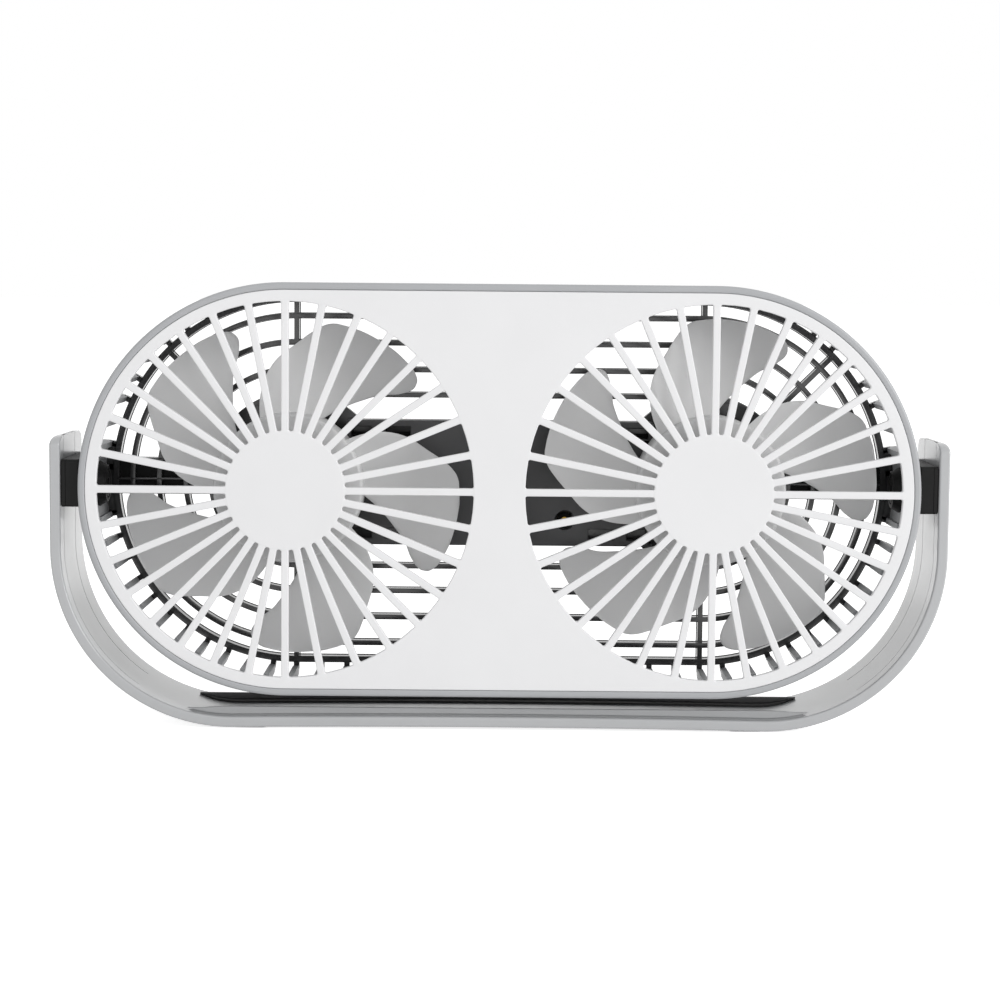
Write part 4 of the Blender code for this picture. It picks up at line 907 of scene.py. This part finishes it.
def make_stand():
    """The U band with a shallow seat for each arm's strip, and the low wall on its base.

    A row of the section's table is a step in from a face, 1 on the outer face, 1 on the
    seat's floor, and the depth.
    """
    line, outward = stand_line()
    on = strip_range(line)
    leaving = np.flatnonzero(on[:-1] & ~on[1:])
    entering = np.flatnonzero(~on[:-1] & on[1:]) + 1
    order = np.sort(np.concatenate([np.arange(len(line)), leaving, entering]))
    line, outward, deep = line[order], outward[order], on[order]
    deep[np.searchsorted(order, leaving, "right") - 1] = False
    deep[np.searchsorted(order, entering)] = False
    loss = corner_loss(line)[:, None]
    turn = np.linspace(0, np.pi / 2, 6)
    fall, rise, none = 1 - np.sin(turn), 1 - np.cos(turn), np.zeros(len(turn))
    front = np.stack([STAND_ROUND * fall, none, none, STAND_ROUND * rise - STAND_HALF_DEPTH], -1)
    rear_depth = STAND_HALF_DEPTH - STAND_REAR_ROUND * rise
    rear = np.stack([STAND_REAR_ROUND * fall, none, none, rear_depth], -1)[::-1]
    low, high = -STRIP_FRONT - FIT_GAP, STRIP_REAR + FIT_GAP
    seat = [(0, 0, 0, low), (0, 0, 1, low), (0, 0, 1, high), (0, 0, 0, high)]
    outer = np.concatenate([front, rear]) * [-1, 1, 1, 1] + [0, 1, 0, 0]
    step_in, out, floor, y = np.concatenate([front, seat, rear, outer[::-1]]).T
    thick = STAND_THICKNESS - ARM_CORNER_WIDTH * loss
    sideways = step_in + out * thick + floor * STRIP_SEAT * deep[:, None]
    edges = np.abs(y) > STRIP_FRONT + STAND_ROUND
    depth = y - np.sign(y) * edges * ARM_CORNER_DEPTH * loss
    band = carried(np.stack([sideways, depth], -1), line, outward, False)
    # The lip is the stand's own plastic. Its second finish is a darker, uncoated copy of the stand
    # grey: painted shade from the head above.
    parts = [band] + in_slot(lip(), 1)
    make_piece("u_stand", parts, STAND_PLACE, (STAND_GREY, LIP_PAINTED_SHADE), "stand")


def base_outline(rise, limit, sink, droop=0.0, steps=24):
    """A low wall standing on the inside of the base, its ends following the bends.

    Beside a bend its top falls by droop ((x - bend x) / (end x - bend x))^2.
    """
    top = BASE_TOP + rise
    reach = min(BEND_X + math.sqrt(INNER_BEND**2 - (BEND_Z - top) ** 2), limit)
    start = -math.acos(min((reach - BEND_X) / INNER_BEND, 1.0))
    turn = np.linspace(start, -np.pi / 2, steps)
    edge = np.array([BEND_X, BEND_Z]) + (INNER_BEND + sink) * spokes(turn)
    x = np.linspace(BEND_X, edge[0, 0], steps)
    fall = droop * ((x - BEND_X) / (edge[0, 0] - BEND_X)) ** 2
    upper = np.stack([x, np.maximum(top - fall, edge[0, 1])], -1)
    right = np.concatenate([upper, edge, base_line(steps - 1) - [0, sink]])
    return distinct(np.concatenate([right, right[-2::-1] * [-1, 1]])[::-1])


def lip():
    """The low wall along the front of the base, set back at its foot."""
    outline = base_outline(LIP_RISE, LIP_HALF_LENGTH, -SHADOW_GAP, LIP_DROOP)
    foot = base_outline(LIP_RISE - FIT_GAP, LIP_HALF_LENGTH, STAND_THICKNESS / 3, LIP_DROOP)
    wall = plate([outline], LIP_FRONT, LIP_REAR, BAR_ROUND / 2)
    return wall + plate([foot], LIP_FRONT + SHADOW_SINK, LIP_REAR - FIT_GAP / 3, BAR_ROUND / 2)


def make_stop_strip():
    """The dark strip behind the lip: a low wall and a flange along the base, darker as painted
    shade.

    Towards each end the flange's front edge runs back to the wall on a quarter ellipse.
    """
    line, outward = stand_line(base_steps=48)
    keep = (line[:, 1] < BEND_Z) & (np.abs(line[:, 0]) < STOP_HALF_LENGTH)
    line, outward = line[keep], outward[keep]
    near = np.clip((np.abs(line[:, 0]) - STOP_FLANGE_END + STOP_TAPER) / STOP_TAPER, 0, 1)
    front = STOP_FRONT + (STOP_WALL - STOP_FRONT) * (1 - np.sqrt(1 - near**2))
    low, high, rear = -STOP_FLANGE, -FIT_GAP / 6, STOP_WALL + FIT_GAP
    slope = FIT_GAP / 2
    corners = ((high, front), (low + slope, front), (low, front + slope), (low, rear), (high, rear))
    section = np.stack([
        np.stack([np.full(len(line), value), np.broadcast_to(y, len(line))], -1)
        for value, y in corners
    ], 1)
    outline = base_outline(STOP_RISE, STOP_HALF_LENGTH, high)
    parts = plate([outline], STOP_WALL, STOP_REAR, BAR_ROUND)
    # The flange takes a darker copy of the strip's finish: painted shade under the head.
    parts += in_slot([carried(section, line, outward, False)], 1)
    make_piece("stop_strip", parts, STAND_PLACE, (STOP_DARK, FLANGE_PAINTED_SHADE), "stand")


def make_arm_cover(side, side_name):
    """The thin strip let into one arm, from its top down round the bend."""
    line, outward = (part[: len(part) // 2] for part in stand_line())
    keep = strip_range(line)
    line, outward = (part[keep] * [side, 1] for part in (line, outward))
    section = oblong(0.0, STRIP_THICKNESS, -STRIP_FRONT, STRIP_REAR, BAR_ROUND / 2)
    parts = [carried(section, line, outward, False)]
    make_piece(f"arm_cover_{side_name}", parts, STAND_PLACE, STAND_GREY, "stand")


def make_pads():
    """The rubber feet let into the base."""
    length, width = PAD_LENGTH / 2, PAD_WIDTH / 2
    for side, side_name in SIDES:
        x = side * PAD_PLACE
        outline = oblong(x - length, x + length, -width, width, PAD_ROUND, 5)
        parts = turned_to_z(plate([outline], 0.0, PAD_PROUD + PAD_SINK, FIT_GAP / 2))
        make_piece(f"foot_pad_{side_name}", parts, STAND_PLACE, PAD_RUBBER, "stand")


def make_cap(side, side_name):
    """The round cap over the pivot screw, a shallow crown on the arm's outer face.

    Its crown falls by proud (r / radius)^4.
    """
    face = PIVOT_FACE + STAND_THICKNESS
    foot = face - FIT_GAP / 2
    radius = np.linspace(0, CAP_RADIUS, 12)
    crown = np.stack([radius, face + CAP_PROUD * (1 - (radius / CAP_RADIUS) ** 4)], -1)
    profile = np.concatenate([crown, [(CAP_RADIUS, foot), (0, foot)]]) * [1, side]
    parts = turned_to_x([lathe(profile)])
    make_piece(f"pivot_cap_{side_name}", parts, HEAD_PLACE, STAND_GREY, "stand")


def make_pivot(side, side_name):
    """Block, neck, nut and friction plate on the pivot axis of one arm."""
    def along(profile):
        return turned_to_x([lathe(profile * [1, side], closed=True)])

    def slab(near, far):
        low, high = sorted((side * near, side * far))
        outline = oblong(-BLOCK_HALF_DEPTH, BLOCK_HALF_DEPTH, BLOCK_LOW, BLOCK_HIGH, BLOCK_ROUND, 5)
        hole = circle(SCREW_BORE, steps=ROUND_STEPS // 2)
        return turned_to_x(plate([outline, hole], low, high, FIT_GAP / 2))

    neck = oblong(SCREW_BORE, NECK_RADIUS, NUT_START, HEAD_END + 2 * FIT_GAP, BAR_ROUND)
    bore, rim = NECK_RADIUS + FIT_GAP, (NECK_RADIUS + NUT_RADIUS) / 2
    nut = [(bore, NUT_START), (rim, NUT_START), (NUT_RADIUS, NUT_END - 2 * FIT_GAP),
           (NUT_RADIUS, NUT_END), (bore, NUT_END)]
    for name, parts, body in (
        ("pivot_block", slab(HEAD_END + FIT_GAP, BLOCK_END) + along(neck), "head"),
        ("pivot_nut", along(rounded(nut, FIT_GAP / 2, 3)), "head"),
        ("friction_plate", slab(FRICTION_START, PIVOT_FACE - FIT_GAP), "stand"),
    ):
        make_piece(f"{name}_{side_name}", parts, HEAD_PLACE, BLACK_AND_POCKET_SHADE, body)


# Camera, light and floor

CAMERA_PLACE = Vector((-0.0005, -0.72809, 0.1368704))
CAMERA_YAW = math.radians(0.054)
CAMERA_PITCH = math.radians(5.155)
CAMERA_ROLL = math.radians(0.502)
CAMERA_LENS = 82.0
LAMP_TARGET = (0, 0, 0.07)
AMBIENT = 0.60
FLOOR_GLOW = 0.75
FLOOR_REACH = 40.0


def make_camera():
    """The photograph's camera: turned by yaw, tipped down by pitch, rolled on its line of sight."""
    ahead = Vector((
        math.sin(CAMERA_YAW) * math.cos(CAMERA_PITCH),
        math.cos(CAMERA_YAW) * math.cos(CAMERA_PITCH),
        -math.sin(CAMERA_PITCH),
    ))
    level = ahead.cross(Vector((0, 0, 1))).normalized()
    above = level.cross(ahead)
    right = math.cos(CAMERA_ROLL) * level + math.sin(CAMERA_ROLL) * above
    up = right.cross(ahead)
    data = bpy.data.cameras.new("camera")
    data.lens = CAMERA_LENS
    data.clip_start = 0.01
    camera = bpy.data.objects.new("camera", data)
    camera.matrix_world = Matrix((
        (right.x, up.x, -ahead.x, CAMERA_PLACE.x),
        (right.y, up.y, -ahead.y, CAMERA_PLACE.y),
        (right.z, up.z, -ahead.z, CAMERA_PLACE.z),
        (0, 0, 0, 1),
    ))
    bpy.context.scene.collection.objects.link(camera)
    bpy.context.scene.camera = camera


def make_lamp(name, place, size, power):
    """A square soft lamp that faces the fan."""
    data = bpy.data.lights.new(name, "AREA")
    data.shape = "SQUARE"
    data.size = size
    data.energy = power
    lamp = bpy.data.objects.new(name, data)
    lamp.location = place
    aim = Vector(LAMP_TARGET) - Vector(place)
    lamp.rotation_euler = aim.to_track_quat("-Z", "Y").to_euler()
    bpy.context.scene.collection.objects.link(lamp)


def seen_directly(tree):
    """A node that gives one where a camera, glossy or transmission ray arrives, else zero."""
    path = node(tree, "ShaderNodeLightPath", (-900, 300))
    first = node(tree, "ShaderNodeMath", (-700, 300), operation="MAXIMUM")
    both = node(tree, "ShaderNodeMath", (-500, 300), operation="MAXIMUM")
    link(
        tree, (path, "Is Camera Ray", first, 0), (path, "Is Glossy Ray", first, 1),
        (first, 0, both, 0), (path, "Is Transmission Ray", both, 1),
    )
    return both


def make_world():
    """Even soft light, seen as plain white."""
    world = bpy.data.worlds.new("studio")
    world.use_nodes = True
    tree = world.node_tree
    sky = tree.nodes["Background"]
    set_inputs(sky, {"Color": (1, 1, 1, 1)})
    strength = node(tree, "ShaderNodeMapRange", (-300, 300), {"To Min": AMBIENT, "To Max": 1.0})
    link(tree, (seen_directly(tree), 0, strength, "Value"), (strength, "Result", sky, "Strength"))
    bpy.context.scene.world = world


def make_floor():
    """A plain pale floor that runs far back, white where nothing shades it."""
    mesh = bpy.data.meshes.new("floor")
    corners = [(x * FLOOR_REACH, y * FLOOR_REACH, 0)
               for x, y in ((-1, -1), (1, -1), (1, 1), (-1, 1))]
    mesh.from_pydata(corners, [], [(0, 1, 2, 3)])
    material = bpy.data.materials.new("pale_floor")
    material.use_nodes = True
    tree = material.node_tree
    shader = tree.nodes["Principled BSDF"]
    set_inputs(shader, {
        "Base Color": (0.8, 0.8, 0.8, 1), "Roughness": 0.9, "Specular IOR Level": 0.0,
        "Emission Color": (1, 1, 1, 1),
    })
    strength = node(tree, "ShaderNodeMath", (-300, 300), {1: FLOOR_GLOW}, operation="MULTIPLY")
    link(tree, (seen_directly(tree), 0, strength, 0), (strength, 0, shader, "Emission Strength"))
    mesh.materials.append(material)
    floor = bpy.data.objects.new("floor", mesh)
    bpy.context.scene.collection.objects.link(floor)


TONE_GROUP = make_tone_group()
GRAIN_GROUP = make_grain_group()
PANEL_WHITE = make_finish("panel_white", tones(0.81, 0.785, (1, 1, 1.01)), 0.5)
FRAME_GREY = make_finish("frame_grey", tones(0.42, 0.39, (0.98, 1, 1.03)), 0.42)
STAND_GREY = make_finish(
    "stand_grey", tones(0.43, 0.41, (0.985, 1, 1.02)), 0.34, coat=1.0, coat_roughness=0.2)
# Painted shade: a darker copy of the stand grey for the lip under the head.
LIP_PAINTED_SHADE = make_finish("lip_painted_shade", tones(0.36, 0.34, (0.985, 1, 1.015)), 0.5)
BLADE_GREY = make_finish("blade_grey", tones(0.76, 0.73), 0.38)
COVER_DARK = make_finish("cover_dark", tones(0.042, 0.034, (1, 1, 1.03)), 0.2, coat=0.4)
HOUSING_DARK = make_finish("housing_dark", tones(0.082, 0.070, (1, 1, 1.03)), 0.45)
STOP_DARK = make_finish(
    "stop_dark", tones(0.065, 0.055, (1, 1, 1.03)), 0.45, coat=0.3, coat_roughness=0.4)
# Painted shade: a darker copy of the stop's dark finish for the flange under the head.
FLANGE_PAINTED_SHADE = make_finish("flange_painted_shade", tones(0.030, 0.025, (1, 1, 1.03)), 0.6, specular=0.2)
# Black of the pivot pieces, used also as painted shade on the pocket floors of the rear cover.
BLACK_AND_POCKET_SHADE = make_finish("black_and_pocket_shade", tones(0.010, 0.007), 0.5, specular=0.15)
PAD_RUBBER = make_finish("pad_rubber", tones(0.012, 0.008), 0.8, specular=0.2, bump=0.3)
SCREW_BRASS = make_finish(
    "screw_brass", [(0.45, 0.28, 0.06, 1), (0.36, 0.22, 0.05, 1)], 0.38, metallic=1.0)
DEEP_BLACK = make_finish("deep_black", tones(0.006, 0.004), 0.7, specular=0.1)
BRIGHT_STEEL = make_finish("bright_steel", tones(0.58, 0.50), 0.28, metallic=1.0, grain=900.0)
BUTTON_GREY = make_finish("button_grey", tones(0.30, 0.27), 0.5)
LENS_GREEN = make_finish(
    "lens_green", [(0.08, 0.33, 0.13, 1), (0.06, 0.28, 0.10, 1)], 0.15, coat=0.6)
BOARD_GREEN = make_finish(
    "board_green", [(0.012, 0.13, 0.045, 1), (0.008, 0.09, 0.03, 1)], 0.4, clouds=500.0)
CELL_WRAP = make_finish(
    "cell_wrap", [(0.23, 0.27, 0.34, 1), (0.19, 0.23, 0.30, 1)], 0.35, coat=0.3)

CAD_FINISHES = {
    "battery_cell": CELL_WRAP, "circuit_board": BOARD_GREEN, "power_switch": BRIGHT_STEEL,
    "power_inlet": BRIGHT_STEEL, "indicator_lens": LENS_GREEN, "power_button": BUTTON_GREY,
    "motor_left": BRIGHT_STEEL, "motor_right": BRIGHT_STEEL, "motor_bush_left": SCREW_BRASS,
    "motor_bush_right": SCREW_BRASS, "motor_shaft_left": BRIGHT_STEEL,
    "motor_shaft_right": BRIGHT_STEEL, "motor_lead_left": PAD_RUBBER,
    "motor_lead_right": PAD_RUBBER, "pivot_screw_left": BRIGHT_STEEL,
    "pivot_screw_right": BRIGHT_STEEL,
}

make_camera()
make_world()
make_floor()
make_lamp("front", (-0.2, -2.8, 0.8), size=2.0, power=8.0)
make_lamp("key", (2.4, -1.5, 1.0), size=1.5, power=51.0)
make_lamp("fill", (-2.4, -1.0, 0.8), size=1.5, power=5.0)

make_front()
make_rear()
make_housing()
make_screws()
for (side, side_name), phase in zip(SIDES, PHASES):
    make_impeller(side, side_name, phase)
make_stand()
make_stop_strip()
make_pads()
for side, side_name in SIDES:
    make_arm_cover(side, side_name)
    make_pivot(side, side_name)
    make_cap(side, side_name)
for name, finish in CAD_FINISHES.items():
    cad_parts[name].data.materials.clear()
    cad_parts[name].data.materials.append(finish)

bpy.context.scene.view_settings.view_transform = "Standard"
